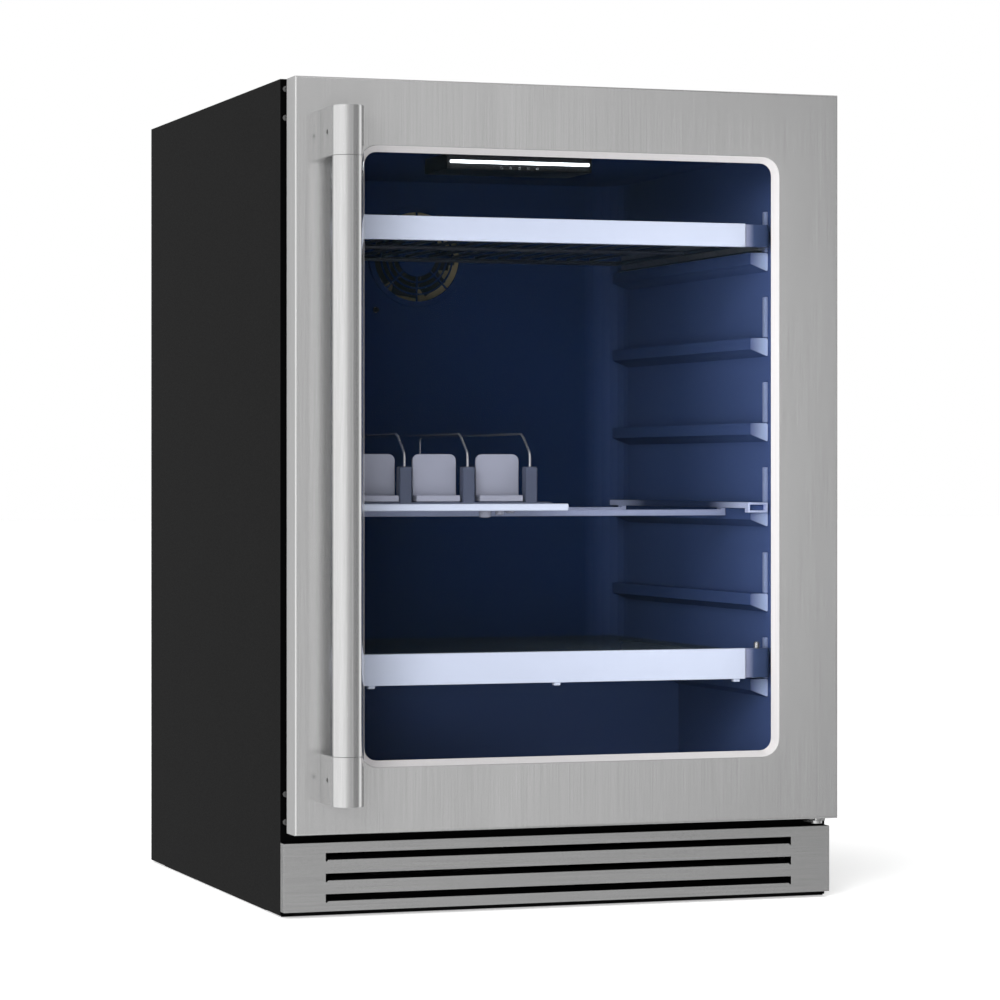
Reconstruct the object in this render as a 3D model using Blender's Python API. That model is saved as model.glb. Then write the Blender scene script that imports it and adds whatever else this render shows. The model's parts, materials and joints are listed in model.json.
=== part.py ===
"""Undercounter refrigerator with a glass door, as an assembly of separate sub-parts.

The dimensions are in millimetres and become metres where a mesh is made. X runs to the right
and Z up. Depths along Y are counted from the cabinet's front plane: a positive depth is inside
the cabinet, a negative one is in front of it. The origin is under the middle of the whole.
"""

import math

import bmesh
import bpy
from mathutils import Matrix, Vector

MM = 0.001
GAP = 0.3  # between pieces that touch on the real object

# Cabinet
WIDTH = 595.0
HEIGHT = 842.0
DEPTH = 560.0
HALF = WIDTH / 2
SHEET = 1.0
SHELL_BOTTOM = 2.0
FLANGE = 14.5
INLET_PROUD = 2.0

# Door
DOOR_HALF = 293.9
DOOR_LOW, DOOR_HIGH = 85.9, 841.1
DOOR_REAR, DOOR_FRONT = -11.2, -43.2
DOOR_SHEET = 1.2
WINDOW_HALF, WINDOW_LOW, WINDOW_HIGH = 220.7, 158.4, 768.2
REVEAL = 6.6
REVEAL_DEPTH = 6.5
WINDOW_RADIUS = 12.5
LIP_HALF = 276.0
LIP_OVER_PANE = 3.5
PANE_HALF = 238.0
PANE_MARGIN = PANE_HALF - WINDOW_HALF
OUTER_PANE, INNER_PANE = (-36.4, -32.4), (-19.7, -15.7)
SPACER_WIDE = 6.0

# Handle
HANDLE_X = -252.4
HANDLE_DEPTH = -87.0
HANDLE_RADIUS = 15.5
HANDLE_LOW, HANDLE_HIGH = 118.2, 808.2
HANDLE_END = 49.3

# Hinges
HINGE_X, HINGE_DEPTH = 278.0, -24.0
ARM_HALF, ARM_THICK = 5.0, 3.0
PIN_RADIUS = 3.0
UPPER_ARM = 836.0
LOWER_ARM = 79.5
RECESS_LOW = 831.0

# Toe kick
KICK_LOW, KICK_HIGH, KICK_FRONT = 6.2, 75.3, -13.0
SLOT_HALF = 253.8
SLOT_HEIGHT = 7.0
SLOT_LOWS = (57.9, 37.2, 16.5)
HOOK_DROP, HOOK_WIDE = 1.4, 3.2

# Inside
LINER_HALF, LINER_FLOOR, LINER_CEILING, LINER_BACK = 247.0, 112.0, 784.0, 490.0
LINER_WALL = 2.0
LINER_RADIUS = 40.0
STEP_FRONT, STEP_TOP = 290.0, 222.0
ROOM_FRONT, ROOM_TOP = 330.0, 180.0
FOAM_LOW = 80.0
LIP_LOW = 97.0
LEDGE_TOP, LEDGE_PITCH, LEDGE_COUNT = 680.0, 90.3, 6
LEDGE_REACH, LEDGE_TIP, LEDGE_TALL, LEDGE_FRONT, LEDGE_END = 20.0, 12.0, 20.0, 34.0, 448.0
RIB_THICK, RIB_LONG, RIB_TALL = 3.5, 6.0, 44.0

# Shelves
TRIM_HALF, TRIM_FRONT = 209.5, 5.0
SLIDE_FRONT, SLIDE_BACK = 45.0, 448.0
SLIDE_TALL = 22.0
WINE_LEVEL = 684.0
LOWER_LEVEL = 230.5
MIDDLE_LEVEL = 407.7
HALF_SHELF_LEFT, HALF_SHELF_RIGHT = -219.0, 12.4
CAP_REACH, CAP_FRONT, CAP_BACK = 240.0, 9.0, 24.0

# Fans
FAN_Z, FAN_GRILLE_RADIUS = 697.0, 58.5
CONDENSER_FAN_X, CONDENSER_FAN_Z, CONDENSER_FAN_RADIUS = -185.0, 80.0, 60.0

# The cabinet's front plane lies here, so that the origin is at the middle of the whole depth.
FRONT_Y = (-HANDLE_DEPTH + HANDLE_RADIUS - DEPTH - INLET_PROUD) / 2


# ---------------------------------------------------------------- materials

MATERIALS = {
    "black_steel": ((0.018, 0.018, 0.019), 0.55, 0.2),
    "galvanised": ((0.55, 0.56, 0.57), 0.45, 0.9),
    "stainless": ((0.48, 0.48, 0.47), 0.32, 1.0),
    "polished_steel": ((0.55, 0.55, 0.54), 0.22, 1.0),
    "black_plastic": ((0.012, 0.012, 0.013), 0.5, 0.0),
    "navy_liner": ((0.02, 0.045, 0.16), 0.45, 0.0),
    "trim": ((0.62, 0.62, 0.72), 0.35, 0.6),
    "foam": ((0.75, 0.66, 0.42), 0.9, 0.0),
    "gasket": ((0.02, 0.02, 0.02), 0.7, 0.0),
    "clear": ((0.9, 0.93, 0.96), 0.1, 0.0),
    "dark_wire": ((0.03, 0.03, 0.035), 0.4, 0.5),
    "fins": ((0.7, 0.71, 0.73), 0.35, 1.0),
    "lamp": ((0.9, 0.95, 1.0), 0.3, 0.0),
}


def material(name):
    """The named material, made on first use."""
    if name in bpy.data.materials:
        return bpy.data.materials[name]
    colour, roughness, metallic = MATERIALS[name]
    made = bpy.data.materials.new(name)
    made.use_nodes = True
    made.diffuse_color = (*colour, 1.0)
    shader = made.node_tree.nodes["Principled BSDF"]
    shader.inputs["Base Color"].default_value = (*colour, 1.0)
    shader.inputs["Roughness"].default_value = roughness
    shader.inputs["Metallic"].default_value = metallic
    if name == "clear":
        shader.inputs["Alpha"].default_value = 0.35
    return made


# ---------------------------------------------------------------- solids

AXES = {"X": (1, 2, 0), "Y": (2, 0, 1), "Z": (0, 1, 2)}


def at(x, depth, z):
    """The point in metres of a place given in millimetres."""
    return Vector((x, FRONT_Y + depth, z)) * MM


def raw(mesh_maker):
    """An unnamed object whose mesh is filled by mesh_maker(bm)."""
    bm = bmesh.new()
    mesh_maker(bm)
    bmesh.ops.recalc_face_normals(bm, faces=bm.faces)
    mesh = bpy.data.meshes.new("raw")
    bm.to_mesh(mesh)
    bm.free()
    made = bpy.data.objects.new("raw", mesh)
    bpy.context.scene.collection.objects.link(made)
    return made


def box(x, depth, z):
    """A box from three (low, high) pairs."""

    def fill(bm):
        corners = bmesh.ops.create_cube(bm, size=1.0)["verts"]
        for corner in corners:
            sides = [pair[1] if c > 0 else pair[0] for c, pair in zip(corner.co, (x, depth, z))]
            corner.co = at(*sides)

    return raw(fill)


def place(axis, across, up, along):
    """A point from its two coordinates across an axis and its one along it."""
    point = [0.0, 0.0, 0.0]
    first, second, third = AXES[axis]
    point[first], point[second], point[third] = across, up, along
    return at(*point)


def loft(sections, axis):
    """A solid through closed outlines, each given as (place along the axis, points)."""

    def fill(bm):
        rings = [[bm.verts.new(place(axis, a, b, along)) for a, b in points] for along, points in sections]
        count = len(rings[0])
        for low, high in zip(rings, rings[1:]):
            for i in range(count):
                j = (i + 1) % count
                bm.faces.new((low[i], low[j], high[j], high[i]))
        bm.faces.new(reversed(rings[0]))
        bm.faces.new(rings[-1])

    return raw(fill)


def prism(outline, axis, low, high):
    """A closed outline, extruded along an axis."""
    return loft([(low, outline), (high, outline)], axis)


def circle(centre, radius, sides):
    """The points of a circle."""
    turns = [2 * math.pi * i / sides for i in range(sides)]
    return [(centre[0] + radius * math.cos(t), centre[1] + radius * math.sin(t)) for t in turns]


def rod(centre, radius, axis, low, high, sides=20):
    """A round bar along an axis, its centre given in the two coordinates across it."""
    return prism(circle(centre, radius, sides), axis, low, high)


def turned(centre, profile, axis, sides=24):
    """A solid of revolution from (radius, place along the axis) pairs."""
    return loft([(along, circle(centre, radius, sides)) for radius, along in profile], axis)


def rounded(a, b, radius, steps=5):
    """A rectangle with round corners, from two (low, high) pairs."""
    corners = (
        (a[1] - radius, b[1] - radius, 0),
        (a[0] + radius, b[1] - radius, 90),
        (a[0] + radius, b[0] + radius, 180),
        (a[1] - radius, b[0] + radius, 270),
    )
    points = []
    for ca, cb, start in corners:
        for i in range(steps + 1):
            t = math.radians(start + 90 * i / steps)
            points.append((ca + radius * math.cos(t), cb + radius * math.sin(t)))
    return points


def combine(base, others, operation):
    """Joins the others to the base, or cuts them from it, and removes them."""
    for other in others:
        step = base.modifiers.new(operation.lower(), "BOOLEAN")
        step.operation = operation
        step.solver = "EXACT"
        step.object = other
        graph = bpy.context.evaluated_depsgraph_get()
        result = bpy.data.meshes.new_from_object(base.evaluated_get(graph))
        base.modifiers.clear()
        base.data = result
        bpy.data.objects.remove(other)


def sub_part(name, slot, pieces, cuts=(), added=(), bevel=0.0):
    """One named body: the pieces joined, less the cuts, plus what is added after them."""
    base = pieces[0]
    combine(base, pieces[1:], "UNION")
    combine(base, cuts, "DIFFERENCE")
    combine(base, added, "UNION")
    base.name = name
    base.data.name = name
    base.data.materials.clear()
    base.data.materials.append(material(slot))
    corners = [Vector(corner) for corner in base.bound_box]
    centre = (Vector(map(min, zip(*corners))) + Vector(map(max, zip(*corners)))) / 2
    base.data.transform(Matrix.Translation(-centre))
    base.location = centre
    base.data.shade_smooth()
    base.data.set_sharp_from_angle(angle=math.radians(30))
    if bevel:
        edge = base.modifiers.new("edges", "BEVEL")
        edge.width = bevel * MM
        edge.segments = 2
        edge.limit_method = "ANGLE"
    return base


def pivot(name, place_mm, children):
    """An empty on a joint's axis, which carries the children."""
    empty = bpy.data.objects.new(name, None)
    empty.location = at(*place_mm)
    bpy.context.scene.collection.objects.link(empty)
    for child in children:
        child.parent = empty
        child.matrix_parent_inverse = Matrix.Translation(-empty.location)


def mirrored(pair):
    """A (low, high) pair on the other side of X = 0."""
    return (-pair[1], -pair[0])


SIDES = {"left": -1, "right": 1}


def on_side(side, pair):
    """A (low, high) pair given for the right, moved to the named side."""
    return pair if SIDES[side] > 0 else mirrored(pair)


# ---------------------------------------------------------------- cabinet


def ledge_tops():
    return [LEDGE_TOP - LEDGE_PITCH * i for i in range(LEDGE_COUNT)]


SCREW_X = -292.0
SCREW_HEIGHTS = (832.0, 803.0, 124.0, 96.0)


def outer_shell():
    """The painted wrap: two sides and the top, with its front edges bent inwards."""
    inner = HALF - SHEET
    sides = [box(on_side(s, (inner, HALF)), (0, DEPTH), (SHELL_BOTTOM, HEIGHT)) for s in SIDES]
    top = box((-HALF, HALF), (0, DEPTH), (HEIGHT - SHEET, HEIGHT))
    flanges = [
        box(on_side(s, (HALF - FLANGE, HALF)), (0, SHEET), (SHELL_BOTTOM, HEIGHT)) for s in SIDES
    ]
    flanges.append(box((-HALF, HALF), (0, SHEET), (HEIGHT - FLANGE, HEIGHT)))
    flanges.append(box((-HALF, HALF), (0, SHEET), (LIP_LOW - 27, LIP_LOW - GAP)))
    holes = [rod((z, SCREW_X), 2.4, "Y", -5, 10, 12) for z in SCREW_HEIGHTS]
    sub_part("outer_shell", "black_steel", [top, *sides, *flanges], holes)


def flange_screws():
    """Screws that fill the holes of the hinges on the side where the door isn't hung."""
    for number, z in enumerate(SCREW_HEIGHTS, 1):
        profile = [(1.6, -2.2), (2.8, -1.7), (3.1, -0.9), (3.1, -GAP), (2.0, -GAP), (2.0, 9.0)]
        body = turned((z, SCREW_X), profile, "Y", 16)
        cross = [
            box((SCREW_X - 1.7, SCREW_X + 1.7), (-3, -1.2), (z - 0.4, z + 0.4)),
            box((SCREW_X - 0.4, SCREW_X + 0.4), (-3, -1.2), (z - 1.7, z + 1.7)),
        ]
        sub_part(f"flange_screw_{number}", "black_steel", [body], cross)


def back_panel():
    inside = HALF - SHEET - GAP
    panel = box((-inside, inside), (DEPTH - SHEET, DEPTH), (ROOM_TOP, HEIGHT - SHEET - GAP))
    edge = box((-inside, inside), (DEPTH - 12, DEPTH), (ROOM_TOP, ROOM_TOP + SHEET))
    sub_part("back_panel", "galvanised", [panel, edge])


def rear_service_cover():
    """A louvred cover over the machine room, open where the power inlet looks out."""
    inside = HALF - SHEET - GAP
    plate = box((-inside, inside), (DEPTH - SHEET, DEPTH), (BASE_TOP + GAP, ROOM_TOP - GAP))
    slots = []
    for column in (-200, -70, 60):
        for row in range(6):
            low = 40 + 20 * row
            slots.append(box((column - 55, column + 55), (DEPTH - 5, DEPTH + 5), (low, low + 7)))
    window = box(INLET_X, (DEPTH - 5, DEPTH + 5), INLET_Z)
    sub_part("rear_service_cover", "galvanised", [plate], [*slots, window])


INLET_X, INLET_Z = (190.0, 246.0), (60.0, 94.0)


def power_inlet():
    """A three-pin appliance inlet in a flanged housing."""
    x, z = INLET_X, INLET_Z
    middle = (z[0] + z[1]) / 2
    centre = (x[0] + x[1]) / 2
    body = box((x[0] + GAP, x[1] - GAP), (DEPTH - 26, DEPTH + 1), (z[0] + GAP, z[1] - GAP))
    flange = box((x[0] - 8, x[1] + 8), (DEPTH + GAP, DEPTH + INLET_PROUD), (z[0] - 3, z[1] + 3))
    socket = box((centre - 17, centre + 17), (DEPTH - 18, DEPTH + 5), (middle - 11, middle + 11))
    pins = [
        box((centre + dx - 1, centre + dx + 1), (DEPTH - 20, DEPTH - 4), (middle + dz - 3, middle + dz + 3))
        for dx, dz in ((-8, -3), (8, -3), (0, 4))
    ]
    sub_part("power_inlet", "black_plastic", [body, flange], [socket], pins)


BASE_TOP = 5.9
FEET = [(x, depth) for x in (-262, 262) for depth in (32, 526)]


def base_pan():
    """The floor of the machine room, whose front edge shows under the toe kick."""
    inside = HALF - SHEET - GAP
    front = SHEET + GAP
    plate = box((-inside, inside), (front, DEPTH - SHEET - GAP), (3.2, BASE_TOP))
    lip = box((-inside, inside), (front, front + SHEET), (0.8, 20))
    runners = [box(on_side(s, (284, inside)), (60, 500), (0.8, 4)) for s in SIDES]
    holes = [rod((x, depth), 4.4, "Z", -5, 15, 16) for x, depth in FEET]
    sub_part("base_pan", "black_steel", [plate, lip, *runners], holes)


def levelling_feet():
    for number, (x, depth) in enumerate(FEET, 1):
        profile = [(13, 0), (14, 0.6), (14, 2.0), (13.4, 2.8), (4, 2.8), (4, 38), (3.2, 39)]
        foot = turned((x, depth), profile, "Z", 20)
        foot = sub_part(f"levelling_foot_{number}", "black_plastic", [foot])
        pivot(f"foot_{number}_axis", (x, depth, 0), [foot])


def liner_outline(grow):
    """The liner's plan with round back corners, as (X, depth) points."""
    half, back, radius = LINER_HALF + grow, LINER_BACK + grow, LINER_RADIUS + grow
    points = rounded((-half, half), (-10 * radius, back), radius, 6)
    return [(x, max(depth, -5.0 * (grow == 0))) for x, depth in points]


def liner_space(grow, front):
    """The room inside the liner, or with grow its outer skin: a tall one and the front well."""
    outline = [(x, max(depth, front)) for x, depth in liner_outline(grow)]
    tall = prism(outline, "Z", STEP_TOP - grow, LINER_CEILING + grow)
    half = LINER_HALF + grow
    well = box((-half, half), (front, STEP_FRONT + grow), (LINER_FLOOR - grow, STEP_TOP + 50))
    return [tall, well]


def foam_insulation():
    """Foam between the liner and the casing, with a pocket for the evaporator."""
    inside = HALF - SHEET - GAP
    depth = (LINER_WALL + SHEET, DEPTH - SHEET - GAP)
    block = box((-inside, inside), depth, (FOAM_LOW, HEIGHT - SHEET - GAP))
    grow = LINER_WALL + GAP
    room = box((-HALF, HALF), (ROOM_FRONT, DEPTH + 5), (0, ROOM_TOP + SHEET + GAP))
    pocket = box((-150, 150), (LINER_BACK - 5, 546), (560, 772))
    edge = box((-HALF, HALF), (DEPTH - 13, DEPTH + 5), (0, ROOM_TOP + SHEET + GAP))
    screws = [rod((z, SCREW_X), 2.8, "Y", -5, 12, 12) for z in SCREW_HEIGHTS]
    cuts = [*liner_space(grow, -20), room, pocket, edge, *screws]
    sub_part("foam_insulation", "foam", [block], cuts)


def inner_liner():
    """The moulded liner: walls, a front lip, and ledges with upright ribs along both sides."""
    lip = box((-282.7, 282.7), (0, LINER_WALL), (LIP_LOW, HEIGHT - FLANGE - GAP))
    fan_hole = rod((FAN_Z, 0), FAN_GRILLE_RADIUS - 6, "Y", LINER_BACK - 5, LINER_BACK + 9, 32)
    sensor_hole = rod((SENSOR_Z, SENSOR_X), 3.4, "Y", LINER_BACK - 5, LINER_BACK + 9, 12)
    ledges = []
    for side in SIDES:
        wall, tip = LINER_HALF + LINER_WALL / 2, LINER_HALF - LEDGE_REACH
        for top in ledge_tops():
            outline = [(top, wall), (top, tip), (top - LEDGE_TIP, tip), (top - LEDGE_TALL, wall)]
            if SIDES[side] < 0:
                outline = [(z, -x) for z, x in outline]
            end = LEDGE_END if top - LEDGE_TALL > STEP_TOP else STEP_FRONT
            ledges.append(prism(outline, "Y", LEDGE_FRONT, end))
            rib = on_side(side, (LINER_HALF - RIB_THICK, wall))
            ledges.append(box(rib, (LEDGE_FRONT, LEDGE_FRONT + RIB_LONG), (top - 5, top + RIB_TALL)))
    sub_part(
        "inner_liner",
        "navy_liner",
        [*liner_space(LINER_WALL, 0), lip],
        [*liner_space(0, -5), fan_hole, sensor_hole],
        ledges,
    )


SENSOR_X, SENSOR_Z = -49.0, 635.0


def temperature_sensor():
    profile = [(2.0, -6), (3.0, -5), (3.0, 8), (2.0, 9)]
    profile = [(radius, LINER_BACK + along) for radius, along in profile]
    sub_part("temperature_sensor", "black_plastic", [turned((SENSOR_Z, SENSOR_X), profile, "Y", 12)])


def fan_grille():
    """Rings and spokes in the liner's back wall."""
    front, back = LINER_BACK - 3, LINER_BACK - GAP
    centre = (FAN_Z, 0)

    def ring(outer, inner):
        tube = rod(centre, outer, "Y", front, back, 32)
        combine(tube, [rod(centre, inner, "Y", front - 2, back + 2, 32)], "DIFFERENCE")
        return tube

    hub = rod(centre, 23, "Y", front, back, 32)
    rings = [ring(FAN_GRILLE_RADIUS, 51), ring(43, 40), ring(34, 31)]
    spokes = []
    for i in range(4):
        spoke = box((-52, 52), (front + 0.5, back - 0.5), (-1.3, 1.3))
        turn = Matrix.Rotation(math.pi * i / 4, 4, "Y")
        spoke.data.transform(Matrix.Translation((0, 0, FAN_Z * MM)) @ turn)
        spokes.append(spoke)
    sub_part("fan_grille", "navy_liner", [hub, *rings, *spokes])


def fan_rotor(name, x, z, radius, front, back, blades):
    """A hub with tilted blades on a short blind bore."""
    hub = rod((z, x), 17, "Y", front, back, 24)
    vanes = []
    middle = FRONT_Y + (front + back) / 2
    for i in range(blades):
        vane = box((13, radius), (-FRONT_Y - 1.0, -FRONT_Y + 1.0), (-15, 15))
        tilt = Matrix.Rotation(math.radians(28), 4, "X")
        turn = Matrix.Rotation(2 * math.pi * i / blades, 4, "Y")
        where = Matrix.Translation(Vector((x, middle, z)) * MM)
        vane.data.transform(where @ turn @ tilt)
        vanes.append(vane)
    bore = rod((z, x), 2.9, "Y", back - 8, back + 5, 16)
    rotor = sub_part(name, "black_plastic", [hub, *vanes], [bore])
    pivot(name + "_axis", (x, (front + back) / 2, z), [rotor])


def evaporator():
    """The cold coil and its fan, in the pocket behind the liner's back wall."""
    finned_block("evaporator_coil", (-125, 125), (LINER_BACK + 12, 540), (566, 628), 14)
    fan_rotor("evaporator_fan_rotor", 0, FAN_Z, 46, LINER_BACK + 10, LINER_BACK + 24, 7)
    back = LINER_BACK + 24
    body = rod((FAN_Z, 0), 20, "Y", back + 2, 540, 24)
    shaft = rod((FAN_Z, 0), 2.5, "Y", back - 6, back + 6, 16)
    bridge = box((-60, 60), (532, 538), (FAN_Z - 6, FAN_Z + 6))
    sub_part("evaporator_fan_motor", "black_plastic", [body, shaft, bridge])


def finned_block(name, x, depth, z, fins):
    """A coil block with fins across X, as one comb-shaped body."""
    pitch = (x[1] - x[0]) / fins
    outline = [(x[0], depth[1] - 8)]
    for i in range(fins):
        start = x[0] + pitch * i
        outline += [(start, depth[0]), (start + pitch * 0.4, depth[0])]
        outline += [(start + pitch * 0.4, depth[1] - 8), (start + pitch, depth[1] - 8)]
    outline += [(x[1], depth[1]), (x[0], depth[1])]
    sub_part(name, "fins", [prism(outline[1:], "Z", *z)])


def machine_room():
    """The compressor, and the condenser with its fan."""
    centre = (150, 440)
    profile = [(52, 9), (64, 20), (66, 60), (66, 95), (60, 118), (44, 134), (20, 142)]
    can = turned(centre, profile, "Z", 28)
    foot = box((75, 225), (375, 505), (BASE_TOP + GAP, 10))
    stub = rod((215, 455), 5, "Z", 8, 70, 14)
    sub_part("compressor", "black_steel", [can, foot, stub])
    finned_block("condenser_coil", (-270, -100), (345, 400), (BASE_TOP + GAP, 160), 16)
    x, z = CONDENSER_FAN_X, CONDENSER_FAN_Z
    fan_rotor("condenser_fan_rotor", x, z, CONDENSER_FAN_RADIUS, 412, 426, 5)
    body = rod((z, x), 21, "Y", 428, 460, 24)
    shaft = rod((z, x), 2.5, "Y", 420, 432, 16)
    post = box((x - 9, x + 9), (440, 446), (BASE_TOP + GAP, z))
    foot = box((x - 30, x + 30), (432, 462), (BASE_TOP + GAP, 9))
    sub_part("condenser_fan_motor", "galvanised", [body, shaft, post, foot])


def toe_kick_grille():
    """A stainless tray with three louvred slots, each with a small hook down at its ends."""
    front = KICK_FRONT
    skin = box((-HALF, HALF), (front, -GAP), (KICK_LOW, KICK_HIGH))
    inner = (-HALF + DOOR_SHEET, HALF - DOOR_SHEET)
    hollow = box(inner, (front + DOOR_SHEET, 5), (KICK_LOW + DOOR_SHEET, KICK_HIGH - DOOR_SHEET))
    slots, lips = [], []
    for low in SLOT_LOWS:
        high = low + SLOT_HEIGHT
        slots.append(box((-SLOT_HALF, SLOT_HALF), (front - 5, front + 5), (low, high)))
        end = [(low - HOOK_DROP, -SLOT_HALF), (low + 1, -SLOT_HALF)]
        end += [(low + 1, -SLOT_HALF + HOOK_WIDE), (low - HOOK_DROP, -SLOT_HALF + HOOK_WIDE / 2)]
        slots.append(prism(end, "Y", front - 5, front + 5))
        slots.append(prism([(z, -x) for z, x in end], "Y", front - 5, front + 5))
        edge = [(front + 0.2, low - 1.4), (front + 0.2, low), (front + 7, low + 3), (front + 7, low + 1.8)]
        lips.append(prism(edge, "X", -SLOT_HALF + 6, SLOT_HALF - 6))
    sub_part("toe_kick_grille", "stainless", [skin], [hollow, *slots], lips)


# ---------------------------------------------------------------- hinges


def hinge_bracket(name, plate_z, arm_z, pin_z):
    """A plate on the cabinet's front with an arm that holds the pin."""
    plate = box((279, 297), (-2.8, -GAP), plate_z)
    end = circle((HINGE_X, HINGE_DEPTH), ARM_HALF + 1, 20)
    arm = box((HINGE_X - ARM_HALF, HINGE_X + ARM_HALF), (HINGE_DEPTH, -GAP), arm_z)
    tip = prism(end, "Z", *arm_z)
    root = box((HINGE_X - ARM_HALF, 290), (-2.8, -GAP), arm_z)
    pin = rod((HINGE_X, HINGE_DEPTH), PIN_RADIUS, "Z", *pin_z)
    sub_part(name, "polished_steel", [arm, tip, root, plate, pin])


def hinges():
    upper = (UPPER_ARM, UPPER_ARM + ARM_THICK)
    lower = (LOWER_ARM, LOWER_ARM + ARM_THICK)
    hinge_bracket("hinge_bracket_upper", (792, upper[1]), upper, (824, upper[0] + 1))
    hinge_bracket("hinge_bracket_lower", (lower[0], 130), lower, (lower[1] - 1, 98))


# ---------------------------------------------------------------- door


def window(grow, low, high, radius=None):
    """A solid of the window's outline, grown all round."""
    outline = window_outline(grow, WINDOW_RADIUS + grow if radius is None else radius)
    return prism(outline, "Y", low, high)


def window_outline(grow, radius):
    z = (WINDOW_LOW - grow, WINDOW_HIGH + grow)
    return rounded(z, (-WINDOW_HALF - grow, WINDOW_HALF + grow), radius)


def hinge_clearance():
    """What the hinge arm sweeps in the door, and the holes for both pins."""
    recess = box((HINGE_X - 10, HALF), (-37.0, 0), (RECESS_LOW, DOOR_HIGH + 5))
    centre = (HINGE_X, HINGE_DEPTH)
    holes = [rod(centre, PIN_RADIUS + 0.4, "Z", *z) for z in ((822, RECESS_LOW + 5), (70, 100))]
    return [recess, *holes]


def door_frame():
    """The stainless skin: a folded tray with a sloping reveal round the window."""
    tray = box((-DOOR_HALF, DOOR_HALF), (DOOR_FRONT, DOOR_REAR), (DOOR_LOW, DOOR_HIGH))
    round_front_edges(tray)
    inside = DOOR_HALF - DOOR_SHEET
    z = (DOOR_LOW + DOOR_SHEET, DOOR_HIGH - DOOR_SHEET)
    hollow = box((-inside, inside), (DOOR_FRONT + DOOR_SHEET, 5), z)
    combine(tray, [hollow], "DIFFERENCE")
    end = DOOR_FRONT + REVEAL_DEPTH

    def funnel(wall, front, back):
        slope = REVEAL / REVEAL_DEPTH
        sections = []
        for depth in (front, back):
            grow = REVEAL + slope * (DOOR_FRONT - depth) + wall
            sections.append((depth, window_outline(grow, WINDOW_RADIUS + grow)))
        return loft(sections, "Y")

    wall = funnel(DOOR_SHEET, DOOR_FRONT + 0.4, end)
    space = funnel(0.0, DOOR_FRONT - 2, end + 0.5)
    return sub_part("door_frame", "stainless", [tray, wall], [space, *hinge_clearance()])


def round_front_edges(tray, radius=2.2):
    """Rounds the four front edges and the four front corners of a box."""
    bm = bmesh.new()
    bm.from_mesh(tray.data)
    front = min(v.co.y for v in bm.verts)
    edges = [e for e in bm.edges if all(abs(v.co.y - front) < 1e-6 for v in e.verts)]
    bmesh.ops.bevel(bm, geom=edges, offset=radius * MM, segments=3, profile=0.5, affect="EDGES")
    bm.to_mesh(tray.data)
    bm.free()


def ring(outer, inner, depth):
    """A rectangular frame: outer and inner are each (X half, low Z, high Z)."""
    frame = box((-outer[0], outer[0]), depth, outer[1:])
    hole = box((-inner[0], inner[0]), (depth[0] - 5, depth[1] + 5), inner[1:])
    combine(frame, [hole], "DIFFERENCE")
    return frame


def window_size(grow):
    return (WINDOW_HALF + grow, WINDOW_LOW - grow, WINDOW_HIGH + grow)


def door_inner_frame():
    """The black frame in the stainless skin, which holds the panes and carries the gasket."""
    inset = DOOR_SHEET + GAP
    inside = (DOOR_HALF - inset, DOOR_LOW + inset, DOOR_HIGH - inset)
    rear = (LIP_HALF, DOOR_LOW + 17.2, DOOR_HIGH - 17.2)
    body = ring(inside, window_size(PANE_MARGIN + 1.0), (DOOR_FRONT + inset, DOOR_REAR))
    lip = ring(rear, window_size(PANE_MARGIN - LIP_OVER_PANE), (-15.4, -4.0))
    return sub_part("door_inner_frame", "black_plastic", [body, lip], hinge_clearance())


def panes():
    """Two panes with a spacer round their edge."""
    size = window_size(PANE_MARGIN)
    x = (-size[0], size[0])
    outer = sub_part("outer_glass", "clear", [box(x, OUTER_PANE, size[1:])])
    inner = sub_part("inner_glass", "clear", [box(x, INNER_PANE, size[1:])])
    between = (OUTER_PANE[1] + GAP, INNER_PANE[0] - GAP)
    bar = ring(size, window_size(PANE_MARGIN - SPACER_WIDE), between)
    spacer = sub_part("glass_spacer", "black_plastic", [bar])
    return [outer, inner, spacer]


def door_gasket():
    outer = (268, DOOR_LOW + 25, DOOR_HIGH - 25)
    inner = (252, DOOR_LOW + 41, DOOR_HIGH - 41)
    return sub_part("door_gasket", "gasket", [ring(outer, inner, (-3.7, -GAP))])


def handle():
    """A round bar between two end brackets that stand off the door."""
    centre = (HANDLE_X, HANDLE_DEPTH)
    low, high = HANDLE_LOW + HANDLE_END, HANDLE_HIGH - HANDLE_END
    made = [sub_part("handle_bar", "polished_steel", [rod(centre, HANDLE_RADIUS, "Z", low, high, 40)])]
    ends = (("upper", high + GAP, HANDLE_HIGH), ("lower", HANDLE_LOW, low - GAP))
    for name, bottom, top in ends:
        cap = rod(centre, HANDLE_RADIUS, "Z", bottom, top, 40)
        x = (HANDLE_X - HANDLE_RADIUS + 0.2, HANDLE_X + HANDLE_RADIUS - 0.2)
        stand_off = box(x, (HANDLE_DEPTH, DOOR_FRONT - GAP), (bottom, top))
        stand_off_name = "handle_bracket_" + name
        middle = (HANDLE_DEPTH + 20, (bottom + top) / 2)
        hole = rod(middle, 2.6, "X", x[0] - 3, x[0] + 4, 14)
        made.append(sub_part(stand_off_name, "polished_steel", [cap, stand_off], [hole]))
        grub = rod(middle, 2.2, "X", x[0] + 0.8, x[0] + 4 - GAP, 12)
        made.append(sub_part("handle_set_screw_" + name, "black_steel", [grub]))
    return made


# ---------------------------------------------------------------- shelves


def slide_outer(name, side, low):
    """A fixed channel on a ledge, open towards the middle."""
    high = low + SLIDE_TALL
    outer, inner = LINER_HALF - GAP, LINER_HALF - 11.5
    web = box(on_side(side, (outer - 1.6, outer)), (SLIDE_FRONT, SLIDE_BACK), (low, high))
    flanges = [
        box(on_side(side, (inner, outer)), (SLIDE_FRONT, SLIDE_BACK), z)
        for z in ((low, low + 1.5), (high - 1.5, high))
    ]
    sub_part(name, "galvanised", [web, *flanges])


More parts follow.
